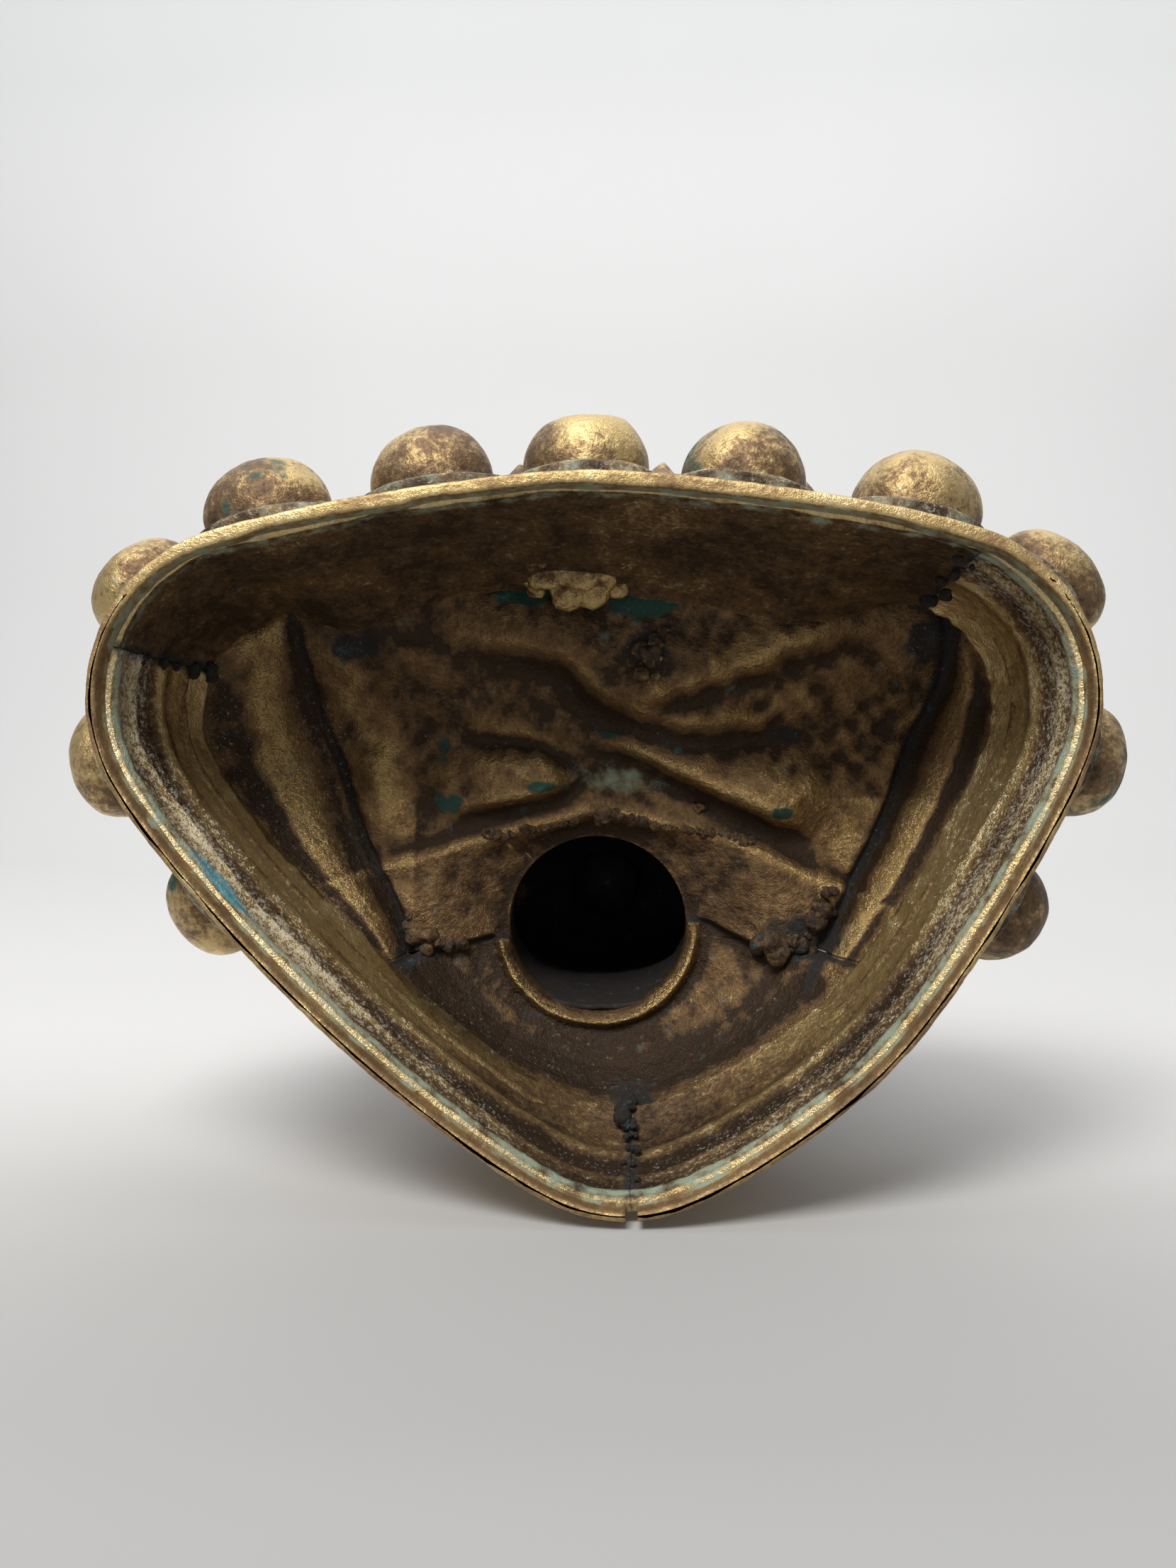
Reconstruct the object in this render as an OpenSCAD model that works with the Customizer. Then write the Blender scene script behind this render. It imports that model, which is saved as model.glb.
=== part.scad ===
// A hollow-cast brass figure seated on a lotus base, made of brazed castings.
// +Z is up and -Y is the front. Left is -X, as seen from the front.
// The origin is on the ground under the middle of the whole object.
// "Inset" is a distance inwards from the foot's outline, measured square to it.

/* [Base] */
// Width of the foot from side to side
base_w = 220; // [200:1:240]
// Height of the top of the lotus base
deck_z = 50; // [46:1:54]
// Height of the foot rim strip
rim_h = 5; // [4:0.5:6]
// Thickness of the foot rim strip
rim_t = 3.6; // [3:0.1:4.4]
// How far the rear tip lies to the right of the middle
rear_shift = 8; // [0:0.5:12]

/* [Lotus petals] */
// Radius of a petal's bulb at the front
front_bulb_r = 14.5; // [12:0.5:16]
// Radius of a petal's bulb at the sides
side_bulb_r = 12.5; // [10:0.5:14]
// How far the front bulbs stand out past the foot
front_bulb_out = 18; // [14:0.5:20]
// How far the side bulbs stand out past the foot
side_bulb_out = 13; // [10:0.5:16]
// Height of the bulbs' middles
bulb_z = 22; // [20:0.5:24]

/* [Figure] */
// Distance of the torso's axis behind the origin
torso_y = 36; // [33:0.5:39]
// Inner radius of the torso where it opens into the lap
torso_bore_r = 25; // [22:0.5:27]
// Height of the top of the crossed legs
lap_z = 84; // [80:1:88]
// Height of the shoulders' top
shoulder_z = 176; // [172:1:180]
// Height of the chin
chin_z = 190; // [188:1:194]
// Height of the head without its hair knot
head_h = 62; // [56:1:66]
// Thickness of the cast walls
wall_t = 4; // [3.5:0.5:5]

/* [Kalash in the lap] */
// Radius of the pot's belly
pot_r = 15; // [13:0.5:17]
// Height of the pot without its lid
pot_h = 30; // [28:1:34]

/* [Hidden] */
$fn = 48;

half_w = base_w / 2;
corner_r = 38;
corner_y = -24;
foot_mid = [0, 9];        // middle of the foot rim, which stands behind the petals' overhang
blend_k = 0.35;           // how sharply the outline follows its largest lobe, per mm
// The foot's outline wraps these round lobes: x, y, radius
LOBES = [[-(half_w - corner_r), corner_y, corner_r],
         [half_w - corner_r, corner_y, corner_r],
         [0, -37, 36],
         [-35, 24, 33],
         [40, 29, 37.5],
         [rear_shift, 55, 35]];

// Seams between the three wall castings, as polar angles round the foot's middle
left_seam_a = -157;
right_seam_a = -37;
rear_seam_a = 83;
border_end_left_a = 153;  // where the hatched border stops on the left
border_end_right_a = 18;  // and on the right

// Polar angles of the petals, counted from the front centre
front_petal_a = [-45.5, -24, 0, 24, 45.5];
side_petal_a = [61, 79.5, 98];
tip_a = [12, 35, 53.5, 70.5, 89];

axis_xy = [0, torso_y];   // the torso's axis

function total(v, i = 0) = i == len(v) ? 0 : v[i] + total(v, i + 1);
function mix(a, b, t) = a * (1 - t) + b * t;
function ease(t) = let (u = min(1, max(0, t))) u * u * (3 - 2 * u);

// The outline's support function: the soft maximum of the lobes' own
function lobe_reach(l, phi) = l[0] * cos(phi) + l[1] * sin(phi) + l[2];
function pull(phi) = let (top = max([for (l = LOBES) lobe_reach(l, phi)]))
    [for (l = LOBES) exp(blend_k * (lobe_reach(l, phi) - top))];
function reach(phi) = max([for (l = LOBES) lobe_reach(l, phi)]) + ln(total(pull(phi))) / blend_k;
function lean(phi) = let (w = pull(phi))
    total([for (i = [0:len(LOBES) - 1]) w[i] * (LOBES[i][1] * cos(phi) - LOBES[i][0] * sin(phi))]) / total(w);
// Point of the outline whose outward normal points along phi, at an inset
function plan(phi, inset) = (reach(phi) - inset) * [cos(phi), sin(phi)] + lean(phi) * [-sin(phi), cos(phi)];

// Normal angle of the outline against the polar angle round a centre, from the front round to the front
function turned(v) = let (a = atan2(v[1], v[0])) a < -89.99 ? a + 360 : a;
function polar_table(centre, inset) = [for (phi = [-88:0.5:268]) let (p = plan(phi, inset) - centre) [turned(p), phi]];
NORMALS = polar_table(foot_mid, 0);
function within(a) = a < -88 ? a + 360 : a;
function normal_at(a) = lookup(within(a), NORMALS);
function base_point(a, inset) = plan(normal_at(a), inset);

// Distance of the outline from the torso's axis along a polar angle round that axis
function range_table(inset) = [for (phi = [-88:1:268]) let (p = plan(phi, inset) - axis_xy) [turned(p), norm(p)]];
RANGE_SIDE = range_table(12.5);
RANGE_FRONT = range_table(25);
// The lap's edge follows the deck's opening: deep behind the front wall, shallow past the corner seams
left_corner_a = 55;       // from the front centre, round the torso's axis
right_corner_a = 43;
function from_front(a) = within(a) > 180 ? within(a) - 270 : within(a) + 90;
function in_front(a) = let (d = from_front(a)) ease((d < 0 ? left_corner_a + d : right_corner_a - d) / 22);
function seat_reach(a) = mix(lookup(within(a), RANGE_SIDE), lookup(within(a), RANGE_FRONT), in_front(a));

// A solid swept round: sections[i] is a closed loop of an even number of points, and both ends are capped.
// A cap is a ladder of triangles between each point and the one that faces it across the loop.
module swept(sections) {
    n = len(sections[0]);
    m = len(sections);
    points = [for (s = sections) for (p = s) p];
    sides = [for (i = [0:m - 2]) for (j = [0:n - 1])
        let (a = i * n + j, b = i * n + (j + 1) % n, c = a + n, d = b + n) each [[a, b, c], [b, d, c]]];
    ladder = [for (k = [0:n / 2 - 2]) each [[k, k + 1, n - 1 - k], [k + 1, n - 2 - k, n - 1 - k]]];
    first = [for (t = ladder) [t[2], t[1], t[0]]];
    last = [for (t = ladder) t + (m - 1) * n * [1, 1, 1]];
    polyhedron(points, concat(first, sides, last), convexity = 8);
}

// A wall of the base between two polar angles. Its section is a loop of [inset, z]
module base_wall(section, from_a, to_a, steps) {
    swept([for (i = [0:steps]) let (phi = normal_at(mix(from_a, to_a, i / steps)))
        [for (s = section) let (p = plan(phi, s[0])) [p[0], p[1], s[1]]]]);
}

// The section of the side and rear walls, up the outside and down the inside, each point facing another
OUTSIDE = [[1, rim_h], [2, 9], [2.5, 14], [3, 21], [2.5, 26], [4, 31], [7, 36], [6, 42], [5, 46], [6, deck_z]];
SIDE_SECTION = concat(OUTSIDE, [[14, deck_z], [13, 46], [11.5, 41], [9.8, 36], [8.4, 31], [6, 26], [6.6, 21],
                                [5.6, 15], [5, 10], [rim_t, rim_h]]);
// The front wall arches inwards under the deck
FRONT_SECTION = concat(OUTSIDE, [[27, deck_z], [25, 47], [19, 43], [14, 37.5], [11.2, 31], [9.6, 26], [8.2, 21],
                                 [6.6, 15], [5.4, 10], [rim_t, rim_h]]);

module foot_rim() {
    outer = [for (phi = [0:3:357]) plan(phi, 0)];
    inner = [for (phi = [0:3:357]) plan(phi, rim_t)];
    notch = base_point(rear_seam_a, 0);
    notch_w = 3;
    color("goldenrod")
    difference() {
        linear_extrude(rim_h) difference() {
            polygon(outer);
            polygon(inner);
        }
        translate([notch[0] - notch_w / 2, notch[1] - 12, -1]) cube([notch_w, 24, rim_h + 2]);
    }
}

module hatched_border() {
    border_h = 3.2;
    section = [[1.2, rim_h + 0.3], [-0.4, rim_h + 0.6], [-0.4, rim_h + border_h], [1.6, rim_h + border_h + 0.3]];
    color("darkgoldenrod") base_wall(section, border_end_left_a - 360, border_end_right_a, 60);
}

module base_front_wall() color("darkgoldenrod") base_wall(FRONT_SECTION, left_seam_a, right_seam_a, 36);
module base_right_wall() color("peru") base_wall(SIDE_SECTION, right_seam_a, rear_seam_a, 34);
module base_left_wall() color("peru") base_wall(SIDE_SECTION, rear_seam_a, left_seam_a + 360, 34);

// A petal: a round boss that grows out of the wall, turned about its own axis
petal_root = 3.2;         // how deep the boss's flat back lies inside the foot's outline
function boss_profile(bulb_r, out) = let (back = min(bulb_r * 0.96, petal_root + out - bulb_r), low = -asin(back / bulb_r))
    concat([[0, -back]], [for (i = [0:9]) let (t = mix(low, 90, i / 9)) [i == 9 ? 0 : bulb_r * cos(t), bulb_r * sin(t)]]);
module petal(a, bulb_r, out) {
    phi = normal_at(a);
    p = plan(phi, bulb_r - out);
    translate([p[0], p[1], bulb_z]) rotate([0, 0, phi]) rotate([0, 90, 0]) rotate_extrude() polygon(boss_profile(bulb_r, out));
}

module front_petals() color("gold") for (a = front_petal_a) petal(a - 90, front_bulb_r, front_bulb_out);
module left_petals() color("gold") for (a = side_petal_a) petal(-90 - a, side_bulb_r, side_bulb_out);
module right_petals() color("gold") for (a = side_petal_a) petal(a - 90, side_bulb_r, side_bulb_out);

// The small leaf that shows between two petals, a cone that leans outwards
module petal_tip(a) {
    phi = normal_at(a);
    p = plan(phi, 2.6);
    tip_h = 15;
    translate([p[0], p[1], 24]) rotate([0, 0, phi]) rotate([0, 48, 0]) cylinder(h = tip_h, r1 = 4, r2 = 1);
}
module petal_tips() color("khaki") for (a = tip_a) {
    petal_tip(a - 90);
    petal_tip(-90 - a);
}

// A shell round the torso's axis: section(a) gives a closed loop of [radius, z] at polar angle a
function placed(a, loop) = [for (s = loop) [axis_xy[0] + s[0] * cos(a), axis_xy[1] + s[0] * sin(a), s[1]]];

// How much a knee swells the lap towards the two front corners
knee_a = [-152, -28];
knee_bulge = 4;
function knee(a) = knee_bulge * max([for (k = knee_a) 1 - ease(abs(a - k) / 34)]);
hub_r = torso_bore_r + wall_t;
function lap_loop(a) = let (rim = seat_reach(a), far = rim + wall_t, k = knee(a))
    [[far, deck_z], [far + k * 0.7, 58], [far - 1, 69 + k], [mix(far, hub_r, 0.16), 76 + k],
     [mix(far, hub_r, 0.42), lap_z - 3], [mix(far, hub_r, 0.75), lap_z], [hub_r, lap_z],
     [torso_bore_r, lap_z - 1], [torso_bore_r, 79], [mix(rim, torso_bore_r, 0.75), 77], [mix(rim, torso_bore_r, 0.42), 74],
     [mix(rim, torso_bore_r, 0.2), 70], [rim - 1, 60], [rim, deck_z]];
function hip_loop(a) = let (rim = seat_reach(a), far = rim + wall_t)
    [[far, deck_z], [far + 1, 56], [far - 1, 64], [mix(far, hub_r, 0.35), 72], [mix(far, hub_r + 7, 0.8), 81],
     [hub_r + 5, lap_z], [hub_r, lap_z],
     [torso_bore_r, lap_z - 1], [torso_bore_r, 79], [mix(rim, torso_bore_r, 0.85), 77],
     [mix(rim, torso_bore_r, 0.65), 74], [mix(rim, torso_bore_r, 0.35), 68], [rim - 3, 61], [rim, deck_z]];
module lap_casting() color("sienna") swept([for (i = [0:40]) let (a = -180 + i * 4.5) placed(a, lap_loop(a))]);
module hip_casting() color("saddlebrown") swept([for (i = [0:30]) let (a = i * 6) placed(a, hip_loop(a))]);

// The torso's rings: share of the way up to the shoulders, half width, depth in front, depth behind
TORSO = [[0, 34, 29, 27], [0.14, 31, 28, 25], [0.3, 32, 29, 25], [0.5, 36, 30, 27], [0.68, 41, 31, 28],
         [0.84, 45, 28, 27], [0.95, 45, 22, 23], [1.03, 30, 16, 17], [1.09, 14, 13, 13]];
neck_bore_r = 8;
neck_z = mix(lap_z, shoulder_z, 1.09);
function oval(rx, ry, a) = rx * ry / norm([ry * cos(a), rx * sin(a)]);
function torso_point(ring, a, t) = let (deep = sin(a) < 0 ? ring[2] : ring[3], r = max(neck_bore_r, oval(ring[1], deep, a) - t))
    [axis_xy[0] + r * cos(a), axis_xy[1] + r * sin(a), mix(lap_z, shoulder_z, ring[0])];
function torso_section(a) = concat([for (ring = TORSO) torso_point(ring, a, 0)],
    [for (i = [len(TORSO) - 1:-1:0]) torso_point(TORSO[i], a, wall_t)]);
module torso_front() color("tan") swept([for (i = [0:24]) torso_section(-180 + i * 7.5)]);
module torso_back() color("burlywood") swept([for (i = [0:24]) torso_section(i * 7.5)]);

// A round limb along a path of [x, y, z, radius]
function along(path, i) = let (a = path[max(0, i - 1)], b = path[min(len(path) - 1, i + 1)],
    v = [b[0] - a[0], b[1] - a[1], b[2] - a[2]]) v / norm(v);
function limb_ring(path, i, sides) = let (t = along(path, i), u0 = cross(t, [0, 1, 0.1]), u = u0 / norm(u0), v = cross(t, u), p = path[i])
    [for (k = [0:sides - 1]) let (a = -k * 360 / sides) [p[0], p[1], p[2]] + p[3] * (cos(a) * u + sin(a) * v)];
module limb(path, sides = 14) swept([for (i = [0:len(path) - 1]) limb_ring(path, i, sides)]);

RIGHT_ARM = [[48, 37, 168, 7], [53, 37, 162, 11.5], [58, 36, 148, 12], [62, 33, 131, 11.5], [63, 26, 117, 11],
             [57, 13, 107, 10.5], [43, 1, 102, 10], [29, -8, 98, 8.5], [22, -12, 96, 7]];
module right_arm() color("wheat") limb(RIGHT_ARM);
module left_arm() color("wheat") mirror([1, 0, 0]) limb(RIGHT_ARM);

hands_y = -15;
hands_z = 86;
module joined_hands() color("moccasin") difference() {
    hull() {
        translate([-19, hands_y, hands_z + 7]) sphere(6.5, $fn = 24);
        translate([19, hands_y, hands_z + 7]) sphere(6.5, $fn = 24);
        translate([0, hands_y - 9, hands_z + 6]) sphere(6, $fn = 24);
        translate([0, hands_y + 4, hands_z + 6]) sphere(6, $fn = 24);
    }
    translate([-40, -60, hands_z + 12]) cube([80, 80, 20]);
}

// The head's rings: height share, half width, half depth
HEAD = [[0.06, 13, 16], [0.2, 18.5, 21.5], [0.38, 21, 24], [0.56, 22.5, 25.5], [0.72, 22.5, 25.5], [0.86, 19, 22],
        [0.96, 11, 13], [1, 3, 4]];
head_y = torso_y - 4;
neck_r = 12;
function head_ring(x, y, middle_y, z) = [for (k = [0:27]) let (a = -k * 360 / 28) [x * cos(a), middle_y + y * sin(a), z]];
module head_casting() color("bisque") swept(concat(
    [for (z = [neck_z, chin_z + 2]) head_ring(neck_r, neck_r, torso_y, z)],
    [for (h = HEAD) head_ring(h[1], h[2], head_y, chin_z + head_h * h[0])]));

head_top = chin_z + head_h;
knot_r = 12.5;
function dome_profile(r) = concat([[0, 0]], [for (t = [0:10:90]) [t == 90 ? 0 : r * cos(t), r * sin(t)]]);
module hair_knot() color("darkkhaki") translate([0, head_y, head_top]) rotate_extrude() polygon(dome_profile(knot_r));
jewel_r = 4.5;
module knot_jewel() color("gold") translate([0, head_y, head_top + knot_r - 0.5]) rotate_extrude()
    polygon([[0, 0], [3.6, 0.6], [4, 2], [3, 2.6], [jewel_r, 6], [jewel_r - 0.6, 9], [1.4, 13], [0, 15]]);

// The pot stands in the hands
pot_z = hands_z + 12;
module kalash_pot() color("orange") translate([0, hands_y, pot_z]) rotate_extrude() polygon([
    [0, 0], [8, 0], [8.4, 1.6], [6.4, 3.4], [pot_r * 0.82, 7], [pot_r, 13], [pot_r * 0.93, 18], [pot_r * 0.62, 22.5],
    [5.6, 25], [5.8, 27], [8.6, pot_h - 1.4], [8.8, pot_h], [4.8, pot_h], [4.6, 25], [pot_r - 4, 20], [pot_r - 2.6, 12],
    [pot_r * 0.55, 5], [0, 4]]);
module kalash_lid() color("gold") translate([0, hands_y, pot_z + pot_h]) rotate_extrude() polygon([
    [0, 0], [9, 0], [9, 1], [7.4, 2.6], [5, 4.6], [2.2, 6], [1.8, 7], [3.2, 9], [2.6, 11], [0, 13.5]]);

// Cast lumps that close the vent holes, seen only from below
module front_vent_plug() color("gold") translate([-4, -46, 44]) hull() {
    sphere(3, $fn = 20);
    translate([-5, 0, 0]) sphere(2.6, $fn = 20);
    translate([5, 0.5, 0.4]) sphere(2.8, $fn = 20);
}
module lap_vent_plug() color("gold") translate([13, -27, 71]) sphere(3.6);

// Runs of braze along the seams inside
module blobs(places) for (p = places) translate([p[0], p[1], p[2]]) sphere(p[3], $fn = 20);
module base_blob_row(a, places) for (s = places) {
    p = base_point(a, s[0]);
    translate([p[0], p[1], s[1]]) sphere(s[2], $fn = 20);
}
module rear_seam_braze() color("dimgray") base_blob_row(rear_seam_a, [[13.5, 38, 2.4], [13, 33, 1.8], [9.6, 25, 1.4], [8.4, 15, 1.2]]);
module left_corner_braze() color("dimgray") base_blob_row(left_seam_a, [[14, 38, 1.8], [11, 29, 1.6], [9, 19, 1.2]]);
module right_corner_braze() color("dimgray") base_blob_row(right_seam_a, [[15, 38, 2], [11.4, 29, 1.8], [9.2, 19, 1.4]]);
module left_hip_braze() color("dimgray") blobs([[-38, 35, 70.5, 2.6], [-43, 38, 69, 2.4], [-48, 40, 67, 2]]);
module right_hip_braze() color("dimgray") blobs([[52, 27, 69, 2.4], [49, 33, 69, 2.8], [44, 38, 69.5, 3], [39, 40, 70.5, 2.4]]);
arch_r = 33;
module lap_arch_braze() color("dimgray") for (a = [-136:11.5:-44])
    translate([axis_xy[0] + arch_r * cos(a), axis_xy[1] + arch_r * sin(a), 75]) sphere(1.5, $fn = 20);

foot_rim();
hatched_border();
base_front_wall();
base_left_wall();
base_right_wall();
front_petals();
left_petals();
right_petals();
petal_tips();
lap_casting();
hip_casting();
torso_front();
torso_back();
left_arm();
right_arm();
joined_hands();
head_casting();
hair_knot();
knot_jewel();
kalash_pot();
kalash_lid();
front_vent_plug();
lap_vent_plug();
rear_seam_braze();
left_corner_braze();
right_corner_braze();
left_hip_braze();
right_hip_braze();
lap_arch_braze();
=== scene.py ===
"""Makes the looks of a hollow-cast brass figure on a lotus base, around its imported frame.

Sizes here are millimetres, and become metres where a mesh is made. +Z is up, -Y is the front, left is -X.
"Inset" is a distance inwards from the foot's outline, square to it, and "height" outside it is a minus inset.
"""

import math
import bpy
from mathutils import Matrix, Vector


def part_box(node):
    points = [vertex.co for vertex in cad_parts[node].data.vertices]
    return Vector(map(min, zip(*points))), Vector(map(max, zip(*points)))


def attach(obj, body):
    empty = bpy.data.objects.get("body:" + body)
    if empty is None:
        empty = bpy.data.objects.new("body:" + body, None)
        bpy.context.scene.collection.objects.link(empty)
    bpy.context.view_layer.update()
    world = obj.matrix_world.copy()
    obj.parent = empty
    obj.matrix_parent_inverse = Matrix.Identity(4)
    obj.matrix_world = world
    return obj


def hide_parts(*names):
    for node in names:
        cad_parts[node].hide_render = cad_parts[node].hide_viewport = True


bl_info = {
    "name": "Seated Brass Figure",
    "version": (1, 0, 0),
    "blender": (4, 5, 0),
    "location": "3D View > Sidebar > Brass Figure",
    "description": "Makes the castings, petals, braze and finishes of a hollow-cast brass figure",
    "category": "Add Mesh",
}

import bpy
import numpy as np
from bpy.props import FloatProperty, FloatVectorProperty, PointerProperty
from mathutils import Matrix

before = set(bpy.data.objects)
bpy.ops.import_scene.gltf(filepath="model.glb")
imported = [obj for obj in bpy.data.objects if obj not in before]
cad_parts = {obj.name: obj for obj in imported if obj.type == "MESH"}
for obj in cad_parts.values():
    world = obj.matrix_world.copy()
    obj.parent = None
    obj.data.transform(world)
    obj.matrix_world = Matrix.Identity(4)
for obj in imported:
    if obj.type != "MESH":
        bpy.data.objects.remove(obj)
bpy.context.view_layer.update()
MM = 0.001


def node_box(name):
    """Lowest and highest corner of a CAD node, in millimetres."""
    low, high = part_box(name)
    return np.array(low) / MM, np.array(high) / MM


RIM_LOW, RIM_HIGH = node_box("foot_rim")
WALL_HIGH = node_box("base_left_wall")[1]
HALF_WIDTH = (RIM_HIGH[0] - RIM_LOW[0]) / 2
RIM_H = RIM_HIGH[2]
DECK_Z = WALL_HIGH[2]
FOOT_MID = np.array([0.0, 9.0])
TORSO_AXIS = np.array([0.0, node_box("torso_back")[0][1]])
BORE_R = 25.0
REAR_SEAM, LEFT_SEAM, RIGHT_SEAM = 83.0, -157.0, -38.0

# ---------------------------------------------------------------- shapes in the plan

# Round lobes that the foot's outline wraps: x, y, radius
LOBES = np.array([
    [-(HALF_WIDTH - 38), -24, 38],
    [HALF_WIDTH - 38, -24, 38],
    [0, -37, 36],
    [-35, 24, 33],
    [40, 29, 37.5],
    [8, 55, 35],
])
LOBE_BLEND = 0.35


def outline(phi, inset):
    """Point of the foot's outline whose outward normal points along phi, moved in by inset.

    The outline's reach along phi is the soft maximum, log(sum(exp(k * r))) / k, of each lobe's own reach
    r = x cos(phi) + y sin(phi) + radius. The point is reach * normal + d(reach)/d(phi) * tangent.
    """
    phi, inset = np.broadcast_arrays(np.asarray(phi, float), np.asarray(inset, float))
    cos, sin = np.cos(phi), np.sin(phi)
    x, y, radius = (LOBES[:, i].reshape((-1,) + (1,) * phi.ndim) for i in range(3))
    own = x * cos + y * sin + radius
    top = own.max(0)
    weight = np.exp(LOBE_BLEND * (own - top))
    reach = top + np.log(weight.sum(0)) / LOBE_BLEND - inset
    lean = (weight * (y * cos - x * sin)).sum(0) / weight.sum(0)
    return reach * cos - lean * sin, reach * sin + lean * cos


class FootLine:
    """Tables that turn a polar angle round the foot's middle, or a length along the outline, into a normal angle."""

    phi = np.radians(np.linspace(-92, 272, 7281))
    x, y = outline(phi, 0)
    length = np.concatenate([[0], np.cumsum(np.hypot(np.diff(x), np.diff(y)))])
    polar = np.degrees(np.unwrap(np.arctan2(y - FOOT_MID[1], x - FOOT_MID[0])))
    round_length = np.interp(268, np.degrees(phi), length) - np.interp(-92, np.degrees(phi), length)

    @classmethod
    def along(cls, angle):
        """Length along the outline at a polar angle in degrees."""
        angle = (np.asarray(angle, float) + 90) % 360 - 90
        return np.interp(angle, cls.polar, cls.length)

    @classmethod
    def normal(cls, length):
        """Normal angle at a length along the outline; the outline repeats after one round."""
        first = cls.length[0]
        rounds = np.floor((length - first) / cls.round_length)
        return np.interp(length - rounds * cls.round_length, cls.length, cls.phi)

    @classmethod
    def angle(cls, length):
        """Polar angle in degrees, from -90 to 270, at a length along the outline."""
        x, y = outline(cls.normal(length), 0)
        return (np.degrees(np.arctan2(y - FOOT_MID[1], x - FOOT_MID[0])) + 90) % 360 - 90


def on_base(length, height, z):
    """Points at a length along the outline, a height outside it and a level z."""
    x, y = outline(FootLine.normal(length), -np.asarray(height, float))
    return np.stack(np.broadcast_arrays(x, y, z), -1)


def knots(angle, table):
    """A value that runs straight between (polar angle, value) pairs, round the whole foot."""
    table = np.array(sorted(((a + 90) % 360 - 90, v) for a, v in table))
    return np.interp((np.asarray(angle) + 90) % 360 - 90, table[:, 0], table[:, 1], period=360)


# Inset of the deck's inner edge against the polar angle: shallow at the sides, deep and wavy at the front
EDGE_INSET = [(-157, 10.5), (-150, 10.5), (-145, 11.5), (-140, 12.2), (-137, 16), (-134, 19.5), (-131, 21),
              (-127, 19.5), (-117, 16.5), (-100, 18), (-90, 19.5), (-70, 21), (-53, 22), (-47, 17.6), (-42, 13),
              (-37, 10.5), (-10, 10), (10, 9), (35, 9.5), (60, 11), (83, 12.5), (100, 10), (115, 6.5), (135, 6.5),
              (155, 9), (175, 8), (190, 9)]


def smooth(t):
    """Eases from 0 to 1: t * t * (3 - 2 * t), held between 0 and 1."""
    t = np.clip(t, 0, 1)
    return t * t * (3 - 2 * t)


def bump(distance, width):
    """A bell: exp(-(distance / width) ** 2)."""
    return np.exp(-((distance / width) ** 2))


def edge_inset(angle):
    """How far in the deck's cut edge lies, read between its knots."""
    return knots(angle, EDGE_INSET)


def front_share(angle):
    """1 behind the front wall and 0 past its corner seams."""
    from_front = (np.asarray(angle) + 270) % 360 - 180
    return smooth((52 - from_front) / 8) * smooth((from_front + 66) / 8)


def edge_z(angle):
    """Level of the deck's inner edge: higher behind the front wall."""
    return 45.5 + 6.5 * front_share(angle)


def curve_through(points, count):
    """A smooth run through given points: Catmull-Rom cubics between them."""
    p = np.array(points, float)
    p = np.vstack([2 * p[0] - p[1], p, 2 * p[-1] - p[-2]])
    at = np.linspace(0, len(points) - 1 - 1e-9, count)
    i = at.astype(int)
    t = (at - i)[:, None]
    a, b, c, d = p[i], p[i + 1], p[i + 2], p[i + 3]
    return 0.5 * (2 * b + (c - a) * t + (2 * a - 5 * b + 4 * c - d) * t ** 2 + (3 * b - a - 3 * c + d) * t ** 3)


def to_run(x, y, run):
    """For each point of the plan: its distance to a run of straight stretches, the share of the way along it,
    and the side it lies on, positive to the right of someone who walks along the run."""
    best = np.full(np.shape(x), np.inf)
    share = np.zeros(np.shape(x))
    side = np.ones(np.shape(x))
    for i, (a, b) in enumerate(zip(run[:-1], run[1:])):
        d = b - a
        t = np.clip(((x - a[0]) * d[0] + (y - a[1]) * d[1]) / (d @ d), 0, 1)
        gap = np.hypot(x - a[0] - t * d[0], y - a[1] - t * d[1])
        nearer = gap < best
        best = np.where(nearer, gap, best)
        share = np.where(nearer, (i + t) / (len(run) - 1), share)
        side = np.where(nearer, np.sign((x - a[0]) * d[1] - (y - a[1]) * d[0]), side)
    return best, share, side


def grain(p, size, seed):
    """Smooth random relief from -1 to 1: random values at the corners of cubes `size` wide, eased between."""
    q = p / size + seed * 7.31
    cell = np.floor(q).astype(np.int64)
    f = q - cell
    f = f * f * (3 - 2 * f)
    total = np.zeros(q.shape[:-1])
    for corner in np.ndindex(2, 2, 2):
        c = cell + np.array(corner)
        mixed = (c[..., 0] * 73856093) ^ (c[..., 1] * 19349663) ^ (c[..., 2] * 83492791) ^ (seed * 26544357)
        mixed = ((mixed ^ (mixed >> 13)) * 1274126177) & 0xFFFFFFFF
        value = ((mixed ^ (mixed >> 16)) & 0xFFFF) / 32767.5 - 1
        total += value * np.prod(np.where(np.array(corner) == 1, f, 1 - f), -1)
    return total


def rough(p, size, seed, octaves=3, fade=0.5):
    """Relief of several sizes: each octave is half as wide and `fade` as high as the one before."""
    return sum(fade ** k * grain(p, size / 2 ** k, seed + k) for k in range(octaves))


# ---------------------------------------------------------------- the hollow seen from below

LEFT_CREASE = curve_through([(-82, -56), (-79, -40), (-76, -22), (-70, -7), (-64, 12), (-59, 21), (-54, 32),
                             (-50, 46)], 40)
RIGHT_CREASE = curve_through([(84, -62), (91, -48), (92, -31), (85, -14), (77, 8), (70, 22), (61, 40), (56, 50)], 40)
HIP_SEAM = curve_through([(-60, 45), (-53, 44), (-43, 42), (-32, 40), (-24, 39), (0, 37), (25, 34), (39, 39), (50, 43),
                          (58, 42), (69, 43), (78, 44)], 60)
LAP_ARCH = curve_through([(-62, 19), (-36, 12), (-25, 10), (-11, 8), (2, 5), (19, 8), (35, 11), (42, 12), (56, 19),
                          (68, 24)], 50)
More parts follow.
